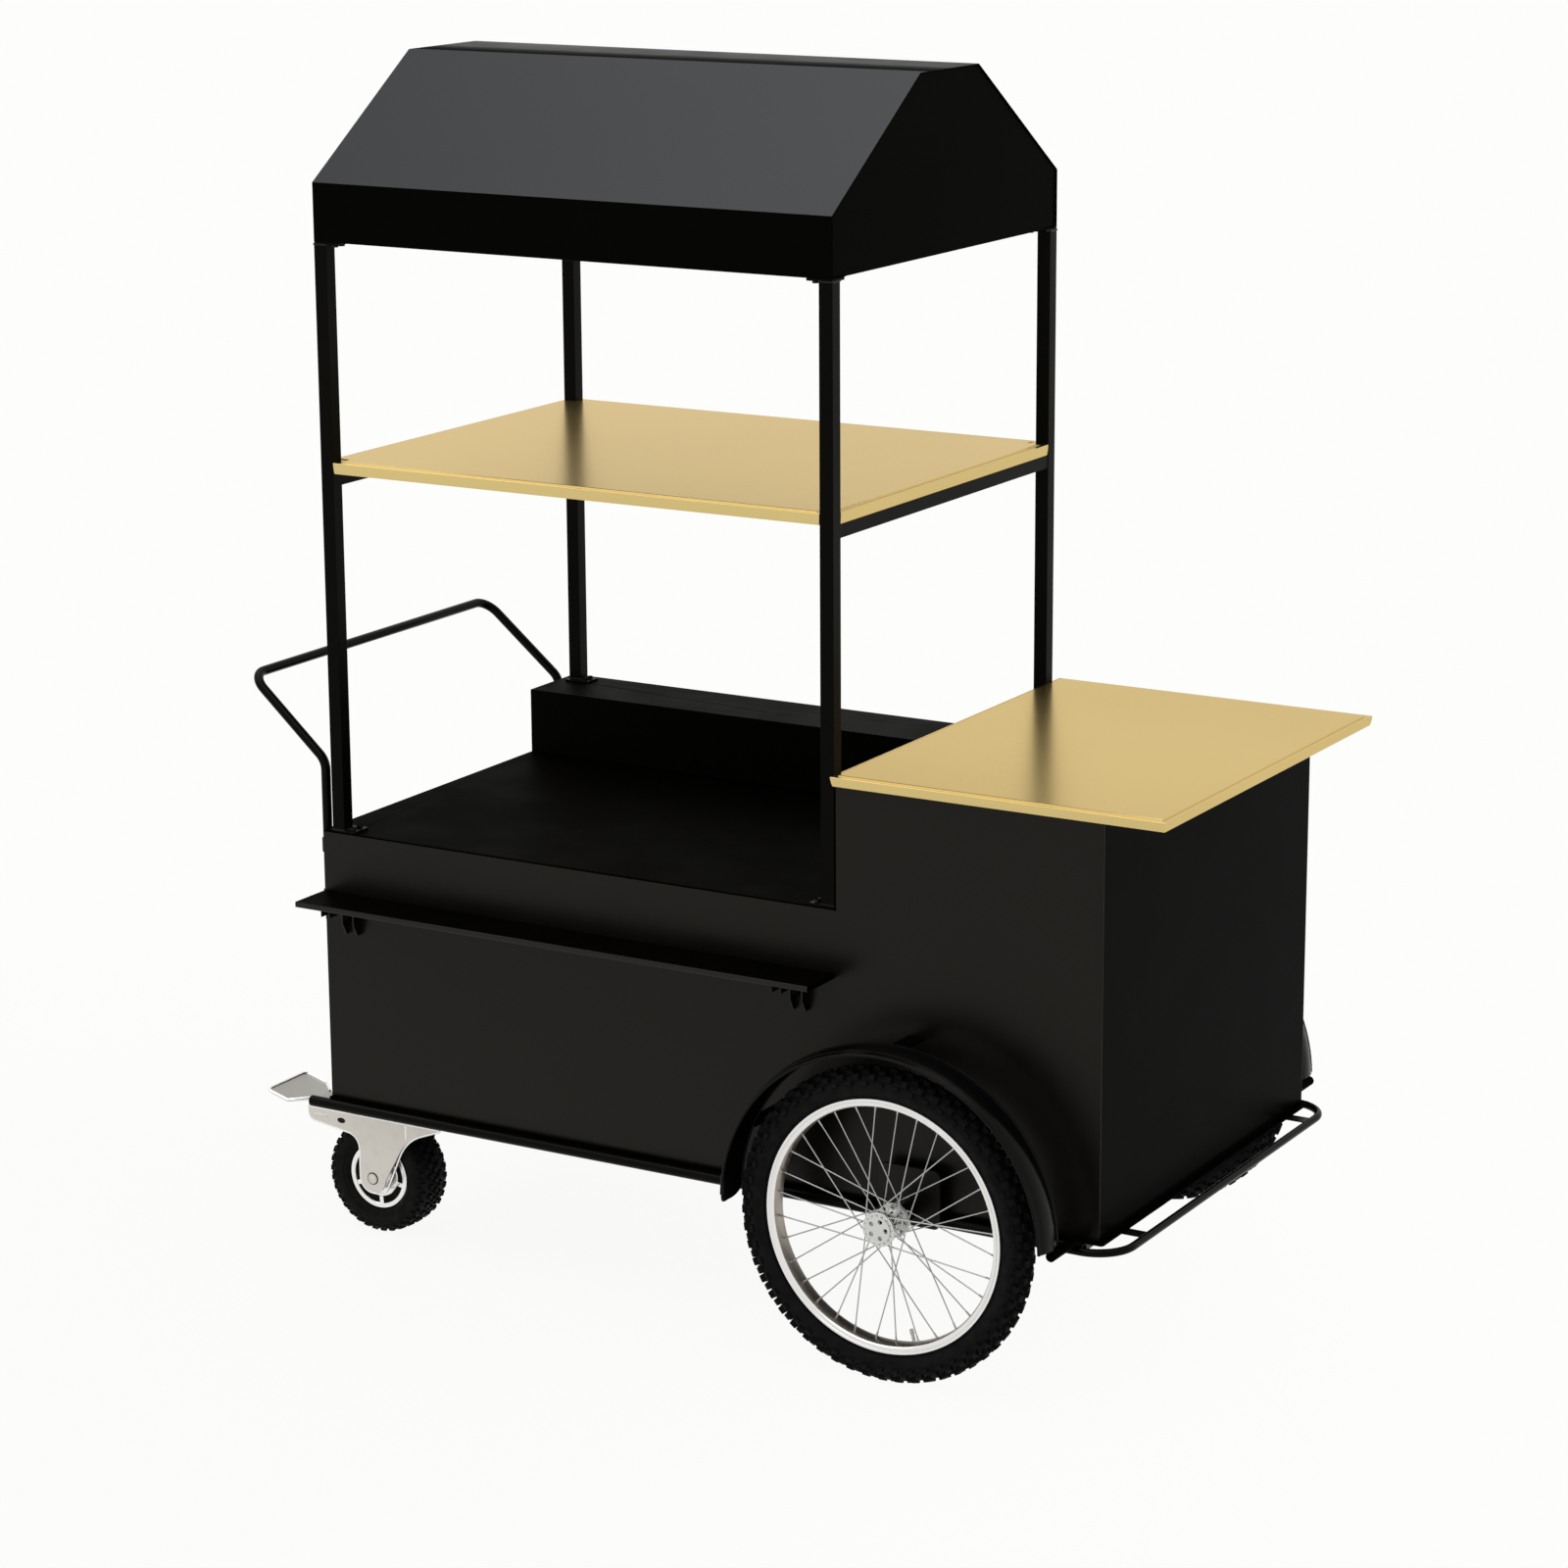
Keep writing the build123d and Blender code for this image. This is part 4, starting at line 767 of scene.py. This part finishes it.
def pedal_border():
    """The outline of the pedal's tread, on its upper face."""
    fold_x, fold_z = PEDAL_FOLD
    tip_x, tip_z = PEDAL_TIP
    rise = (tip_z - fold_z) / (tip_x - fold_x)
    neck_x, neck_half = PEDAL_NECK
    half = [(neck_x, neck_half, fold_z), (fold_x, PEDAL_HALF, fold_z)]
    for tilt in QUARTER_TILTS:
        a = math.radians(tilt)
        x = tip_x + PEDAL_CORNER * (1 - math.sin(a))
        y = PEDAL_HALF - PEDAL_CORNER * (1 - math.cos(a))
        half.append((x, y, fold_z + rise * (x - fold_x)))
    return half + [(x, -y, z) for x, y, z in reversed(half)]


def add_pedal_trim(name, place):
    bm = bmesh.new()
    # The tread's border, in a paler copy of the enamel that paints a highlight along it
    wire(bm, path_on(place, pedal_border()), PEDAL_BORDER_R * MM, sides=10)
    show(bm, f"{name}_pedal_border", f"{name}_pedal", "caster_white", finish=painted_highlight_metal)


def add_casters():
    for name in ("front", "back"):
        place = caster_place(name)
        add_caster_wheel(name, place)
        add_caster_pins(name, place)
        add_caster_fork_trim(name, place)
        add_pedal_trim(name, place)


# Gold plates, in mm
BORDER = 9.5
BORDER_DROP = 2.0
PLATE_SHEET = 2.0
POST_NOTCH = 24.5
COUNTER_LEAN = 3.6
SHELF_LEAN = 1.6
LIP_FOOT = 0.7
LIP_FOOT_LEAN = 0.8
# The lip's outer face above its foot: shares of the plate's lean and of the lip's height
LIP_CURVE = ((0.5, 0.78), (0.27, 0.56), (0.1, 0.36), (0, 0.2))
BORDER_EDGE = 0.3
# The step from the border up to the plate: (inset, height)
BORDER_STEP = ((0.7, -0.4), (1.6, 0))


def inset_outline(corners, inset):
    """A square-cornered outline moved inward; corners run anticlockwise."""
    moved = []
    for k, here in enumerate(corners):
        before, after = corners[k - 1], corners[(k + 1) % len(corners)]
        shift = Vector((0, 0))
        for start, end in ((before, here), (here, after)):
            run = (Vector(end) - Vector(start)).normalized()
            shift += Vector((-run.y, run.x))
        moved.append(Vector(here) + inset * shift)
    return moved


def add_gold_plate(name, node_name, corners, lean):
    """A folded plate with a pressed border just inside its edge; its lip leans inward below."""
    low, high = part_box(node_name)
    lip = (high.z - low.z) / MM
    # (inset from the edge, height from the top)
    steps = (
        (PLATE_SHEET + lean, -PLATE_SHEET - BORDER_DROP),
        (PLATE_SHEET + lean, -lip),
        (lean, -lip),
        (LIP_FOOT_LEAN * lean, LIP_FOOT - lip),
        *[(back * lean, -down * lip) for back, down in LIP_CURVE],
        (0, -BORDER_DROP - BORDER_EDGE),
        (BORDER_EDGE, -BORDER_DROP),
        (BORDER, -BORDER_DROP),
        *[(BORDER + inward, height) for inward, height in BORDER_STEP],
    )
    bm = bmesh.new()
    rings = []
    for inset, drop in steps:
        outline = inset_outline(corners, inset * MM)
        rings.append([bm.verts.new((p.x, p.y, high.z + drop * MM)) for p in outline])
    for below, above in zip(rings, rings[1:]):
        band(bm, below, above)
    bm.faces.new(rings[-1])
    bm.faces.new(rings[0][::-1])
    show(bm, name, "cart", "gold_plate", node_name, sharp=20)


def add_gold_plates():
    """The counter, and the shelf with its corners cut out for the posts."""
    low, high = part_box("counter_plate")
    square = [(low.x, low.y), (high.x, low.y), (high.x, high.y), (low.x, high.y)]
    add_gold_plate("counter_top_plate", "counter_plate", square, COUNTER_LEAN)
    low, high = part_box("middle_shelf")
    n = POST_NOTCH * MM
    notched = [
        (low.x + n, low.y), (high.x - n, low.y), (high.x - n, low.y + n), (high.x, low.y + n),
        (high.x, high.y - n), (high.x - n, high.y - n), (high.x - n, high.y), (low.x + n, high.y),
        (low.x + n, high.y - n), (low.x, high.y - n), (low.x, low.y + n), (low.x + n, low.y + n),
    ]
    add_gold_plate("middle_shelf_plate", "middle_shelf", notched, SHELF_LEAN)


# Small fittings, in mm where not marked
TUBE_R = 9.5
HANDLE_R = 8.0
PLUG = 1.4
PLUG_TAPER = 0.8
PLUG_KNOB_R = 6.5
PLUG_KNOB = 1.0
POST_SIDE = 24 * MM
POST_SHEET = 4 * MM
WELD_R = 1.5 * MM
WELD_WAVER = 0.25 * MM
WELD_STEPS = 8
FENDER_TURNS = range(3, 178, 5)
FENDER_LINE = 22.0
FENDER_LINE_R = 286.6
FENDER_WIRE_R = 1.6
FENDER_CROWN_R = 290.0
FENDER_HALF = 31.0
FENDER_CROWN = 8.0
FENDER_ACROSS = 6
# Upper and lower face of a sheet, from the middle of the fender's own
FENDER_SKIN = (1.0, -1.0)
# The dark sheet under the fender, which paints the shade on its inner side
FENDER_SHADE_SHEET = (-1.1, -1.6)
FENDER_SHADE_HALF = 29.0
TONGUE_TURNS = (177.6, 182.0)
TONGUE_ROWS = 7
TONGUE_STEP = math.radians(13)
TONGUE_ROUND = 0.7
TONGUE_SHADE_INSET = 1.5
LEAF_LIP = 9.0 * MM
LEAF_BULGE = 0.8 * MM
LEAF_STEPS = 8
HINGE_LEVELS = (370.0, 590.0)
HINGE_SHEET = 2.0
HINGE_FIXED = (-16.5, 16.5)
HINGE_MOVING = (-5.5, 5.5)
SCREW_OUT = 20.0
SCREW_R = 3.4
SCREW = 1.4
PULL_REACH = 55.0
PULL_FOOT_R = 8.0
PULL_FOOT_TOP_R = 7.0
PULL_FOOT = 2.0


def add_tube_plugs():
    """Plugs that close the open ends of the side tubes and of the handle."""
    bm = bmesh.new()
    low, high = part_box("side_tubes")
    middle = (low.z + high.z) / 2
    for y in (low.y + TUBE_R * MM, high.y - TUBE_R * MM):
        seat = at_mm(low.x, y, middle) @ Matrix.Rotation(-math.pi / 2, 4, "Y")
        prism(bm, seat, TUBE_R, PLUG, sides=28, top=TUBE_R - PLUG_TAPER)
        dome(bm, seat @ Matrix.Translation((0, 0, PLUG)), PLUG_KNOB_R, PLUG_KNOB, sides=20)
    low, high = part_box("handle")
    for y in (low.y + HANDLE_R * MM, high.y - HANDLE_R * MM):
        seat = at_mm(high.x - HANDLE_R * MM, y, low.z) @ Matrix.Rotation(math.pi, 4, "X")
        prism(bm, seat, HANDLE_R, PLUG, sides=24, top=HANDLE_R - PLUG_TAPER)
    show(bm, "tube_plugs", "cart", "caster_rubber")


def bead_round(bm, corners, z):
    """A weld bead round a square post."""
    points = []
    for k, start in enumerate(corners):
        run = Vector(corners[(k + 1) % len(corners)]) - Vector(start)
        for step in range(WELD_STEPS):
            spot = Vector(start) + run * step / WELD_STEPS
            points.append(Vector((spot.x, spot.y, z + random.uniform(-WELD_WAVER, WELD_WAVER))))
    wire(bm, points, WELD_R, closed=True)


def add_post_welds():
    """Welds where each post meets its foot plate and its head plate."""
    bm = bmesh.new()
    for node_name in ("front_posts", "back_posts"):
        low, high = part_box(node_name)
        y = low.y if node_name == "front_posts" else high.y - POST_SIDE
        for x in (low.x, high.x - POST_SIDE):
            far_x, far_y = x + POST_SIDE, y + POST_SIDE
            corners = [(x, y), (far_x, y), (far_x, far_y), (x, far_y)]
            bead_round(bm, corners, low.z + POST_SHEET)
            bead_round(bm, corners, high.z - POST_SHEET)
    show(bm, "post_welds", "cart", "black_coat")


def arched_sheet(bm, place, rows, faces):
    """A crowned sheet round the axle through rows of (turn, half width), between two faces."""
    rims = []
    for depth in faces:
        skin = []
        for turn, half in rows:
            spots = []
            for k in range(-FENDER_ACROSS, FENDER_ACROSS + 1):
                h = half * k / FENDER_ACROSS
                r = FENDER_CROWN_R - FENDER_CROWN * (h / FENDER_HALF) ** 2 + depth
                spots.append(polar(r, turn, h))
            skin.append(add_points(bm, place, spots))
        for low, high in zip(skin, skin[1:]):
            for i in range(2 * FENDER_ACROSS):
                bm.faces.new((low[i], low[i + 1], high[i + 1], high[i]))
        far_side = [spots[-1] for spots in skin[1:]]
        near_side = [spots[0] for spots in skin[-2:0:-1]]
        rims.append(skin[0] + far_side + skin[-1][-2::-1] + near_side)
    band(bm, *rims)


def add_fender_lines():
    """A pressed line near both edges of each fender, its rounded left end, and a dark sheet under it that paints
    the shade on its inner side.
    """
    for name, side in (("front", -1), ("back", 1)):
        place = wheel_place(name, side) @ Matrix.Scale(MM, 4)
        turns = [math.radians(-side * turn) for turn in FENDER_TURNS]
        bm = bmesh.new()
        for height in (-FENDER_LINE, FENDER_LINE):
            line = [polar(FENDER_LINE_R, turn, height) for turn in turns]
            wire(bm, path_on(place, line), FENDER_WIRE_R * MM)
        start, stop = TONGUE_TURNS
        tongue = []
        for row in range(TONGUE_ROWS):
            bend = TONGUE_STEP * row
            turn = math.radians(-side * (start + (stop - start) * math.sin(bend)))
            tongue.append((turn, FENDER_HALF * math.cos(bend) ** TONGUE_ROUND))
        arched_sheet(bm, place, tongue, FENDER_SKIN)
        show(bm, f"{name}_fender_lines", "cart", "black_coat", finish=lit_and_shaded_coats["gloss"])
        # A dark sheet just under the fender paints the shade on its inner side
        rows = [(turn, FENDER_SHADE_HALF) for turn in turns]
        rows += [(turn, half - TONGUE_SHADE_INSET) for turn, half in tongue[1:]]
        bm = bmesh.new()
        arched_sheet(bm, place, rows, FENDER_SHADE_SHEET)
        show(bm, f"{name}_fender_shade_sheet", "cart", "black_coat", finish=lit_and_shaded_coats["deck"])


def add_leaf_edge():
    """The rounded front edge of the fold shelf."""
    low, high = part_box("fold_leaf")
    bm = bmesh.new()
    ends = []
    for x in (low.x + LEAF_BULGE, high.x - LEAF_BULGE):
        ring = []
        for step in range(LEAF_STEPS + 1):
            turn = math.pi * step / LEAF_STEPS
            y = low.y - LEAF_BULGE * math.sin(turn)
            ring.append(bm.verts.new((x, y, high.z - LEAF_LIP * (1 - math.cos(turn)) / 2)))
        ends.append(ring)
    left, right = ends
    bm.faces.new(left)
    bm.faces.new(right[::-1])
    band(bm, left, right)
    show(bm, "fold_shelf_edge", "fold_shelf", "black_coat", finish=lit_and_shaded_coats["edge"])


def add_door_screws():
    """Screws in the hinge leaves and a foot plate under each end of the pulls."""
    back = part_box("back_panel")[1].y
    facing_back = Matrix.Rotation(-math.pi / 2, 4, "X")
    for name, way in (("left", 1), ("right", -1)):
        axis = Vector(joints[f"{name}_door_swing"]["pos_m"])
        fixed, moving = bmesh.new(), bmesh.new()
        for bm, out, rises in ((fixed, -way, HINGE_FIXED), (moving, way, HINGE_MOVING)):
            for z in HINGE_LEVELS:
                for rise in rises:
                    x = axis.x + out * SCREW_OUT * MM
                    seat = at_mm(x, back + HINGE_SHEET * MM, (z + rise) * MM) @ facing_back
                    dome(bm, seat, SCREW_R, SCREW)
        low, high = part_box(f"{name}_door_pull")
        middle = (low + high) / 2
        for rise in (-PULL_REACH, PULL_REACH):
            seat = at_mm(middle.x, back, middle.z + rise * MM) @ facing_back
            prism(moving, seat, PULL_FOOT_R, PULL_FOOT, sides=24, top=PULL_FOOT_TOP_R)
        show(fixed, f"{name}_hinge_screws", "cart", "bolt_steel")
        show(moving, f"{name}_door_screws", f"{name}_door", "bolt_steel")


def add_fittings():
    add_tube_plugs()
    add_post_welds()
    add_fender_lines()
    add_leaf_edge()
    add_door_screws()


# Camera, light and floor, in metres
CAMERA_AZIMUTH = math.radians(29.59)
CAMERA_HEIGHT_ANGLE = math.radians(14.19)
CAMERA_ROLL = math.radians(-0.11)
CAMERA_FROM_POST = Vector((4.164, -5.5744, 2.5692))
CAMERA_LENS = 97.97
CAMERA_SENSOR = 36
CAMERA_SHIFT = (-0.043, -0.0074)
CAMERA_END = 100
PAPER = (0.985, 0.985, 0.975, 1)
ROOM = 0.4
ROOM_TINT = (0.98, 1, 1, 1)
LAMP_AT = (-1.0, -1.4, 5.2)
LAMP_AIM = (-0.8, -1.0, 0)
LAMP_SIZE = 7.0
LAMP_WATTS = 230
FLOOR_CENTRE = (-1.05, -1.3, 0)
FLOOR_R = 2.75
FLOOR_STEPS = 96
FLOOR_SOLID = 0.3
FLOOR_FADED = 0.99
FLOOR_WHITE = 0.93
FLOOR_COLOUR = (0.96, 0.91, 0.83)


def set_camera():
    """The photograph's viewpoint, measured from the front left post's foot."""
    corner = Vector((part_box("front_posts")[0].x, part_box("front_panel")[0].y, 0))
    data = bpy.data.cameras.new("camera")
    data.lens = CAMERA_LENS
    data.sensor_width = CAMERA_SENSOR
    data.shift_x, data.shift_y = CAMERA_SHIFT
    data.clip_end = CAMERA_END
    camera = bpy.data.objects.new("camera", data)
    bpy.context.scene.collection.objects.link(camera)
    level = math.radians(90) - CAMERA_HEIGHT_ANGLE
    turn = Matrix.Rotation(CAMERA_AZIMUTH, 4, "Z") @ Matrix.Rotation(level, 4, "X")
    turn = turn @ Matrix.Rotation(CAMERA_ROLL, 4, "Z")
    camera.matrix_world = Matrix.Translation(corner + CAMERA_FROM_POST) @ turn
    bpy.context.scene.camera = camera


def seen_white(owner, share):
    """How much of a backdrop is plain white: for the camera, in gloss and through glass."""
    path = node(owner, "ShaderNodeLightPath")
    seen = path.outputs["Is Camera Ray"]
    for ray in ("Is Glossy Ray", "Is Transmission Ray"):
        either = node(owner, "ShaderNodeMath", operation="MAXIMUM")
        link(owner, seen, either.inputs[0])
        link(owner, path.outputs[ray], either.inputs[1])
        seen = either.outputs["Value"]
    part = node(owner, "ShaderNodeMath", operation="MULTIPLY")
    part.inputs[1].default_value = share
    link(owner, seen, part.inputs[0])
    return part.outputs["Value"]


def set_room():
    """A dim room, whose white backdrop shows to the camera and in gloss."""
    world = bpy.data.worlds.new("studio")
    bpy.context.scene.world = world
    world.use_nodes = True
    room = world.node_tree.nodes["Background"]
    room.inputs["Color"].default_value = ROOM_TINT
    room.inputs["Strength"].default_value = ROOM
    paper = node(world, "ShaderNodeBackground", Color=PAPER)
    mix = node(world, "ShaderNodeMixShader")
    link(world, seen_white(world, 1.0), mix.inputs["Fac"])
    link(world, room.outputs["Background"], mix.inputs[1])
    link(world, paper.outputs["Background"], mix.inputs[2])
    link(world, mix.outputs["Shader"], world.node_tree.nodes["World Output"].inputs["Surface"])


def set_lamp():
    """A large soft box above."""
    data = bpy.data.lights.new("top", "AREA")
    data.size = LAMP_SIZE
    data.energy = LAMP_WATTS
    lamp = bpy.data.objects.new("top", data)
    bpy.context.scene.collection.objects.link(lamp)
    turn = (Vector(LAMP_AIM) - Vector(LAMP_AT)).to_track_quat("-Z", "Y").to_matrix().to_4x4()
    lamp.matrix_world = Matrix.Translation(LAMP_AT) @ turn
    lamp.visible_camera = False


def set_floor():
    """A plain pale floor that keeps the cart's shadow and fades into the backdrop."""
    bm = bmesh.new()
    bm.faces.new([bm.verts.new(polar(FLOOR_R, turn)) for turn in circle(FLOOR_STEPS)])
    mesh = bpy.data.meshes.new("floor")
    bm.to_mesh(mesh)
    bm.free()
    floor = bpy.data.objects.new("floor", mesh)
    floor.location = FLOOR_CENTRE
    bpy.context.scene.collection.objects.link(floor)
    mat, bsdf = shader("floor", FLOOR_COLOUR, roughness=0.9)
    bsdf.inputs["Specular IOR Level"].default_value = 0
    reach = node(mat, "ShaderNodeVectorMath", operation="LENGTH")
    link(mat, place_on(mat), reach.inputs[0])
    fade = spread(mat, reach.outputs["Value"], 1, 0, FLOOR_SOLID * FLOOR_R, FLOOR_FADED * FLOOR_R)
    paper = node(mat, "ShaderNodeEmission", Color=PAPER)
    lit = node(mat, "ShaderNodeMixShader")
    link(mat, seen_white(mat, FLOOR_WHITE), lit.inputs["Fac"])
    link(mat, bsdf.outputs["BSDF"], lit.inputs[1])
    link(mat, paper.outputs["Emission"], lit.inputs[2])
    ended = node(mat, "ShaderNodeMixShader")
    link(mat, fade, ended.inputs["Fac"])
    link(mat, node(mat, "ShaderNodeBsdfTransparent").outputs["BSDF"], ended.inputs[1])
    link(mat, lit.outputs["Shader"], ended.inputs[2])
    link(mat, ended.outputs["Shader"], mat.node_tree.nodes["Material Output"].inputs["Surface"])
    mesh.materials.append(mat)


dress_frame()
add_wheels()
add_casters()
add_gold_plates()
add_fittings()
set_camera()
set_room()
set_lamp()
set_floor()

bpy.context.scene.view_settings.view_transform = "Standard"
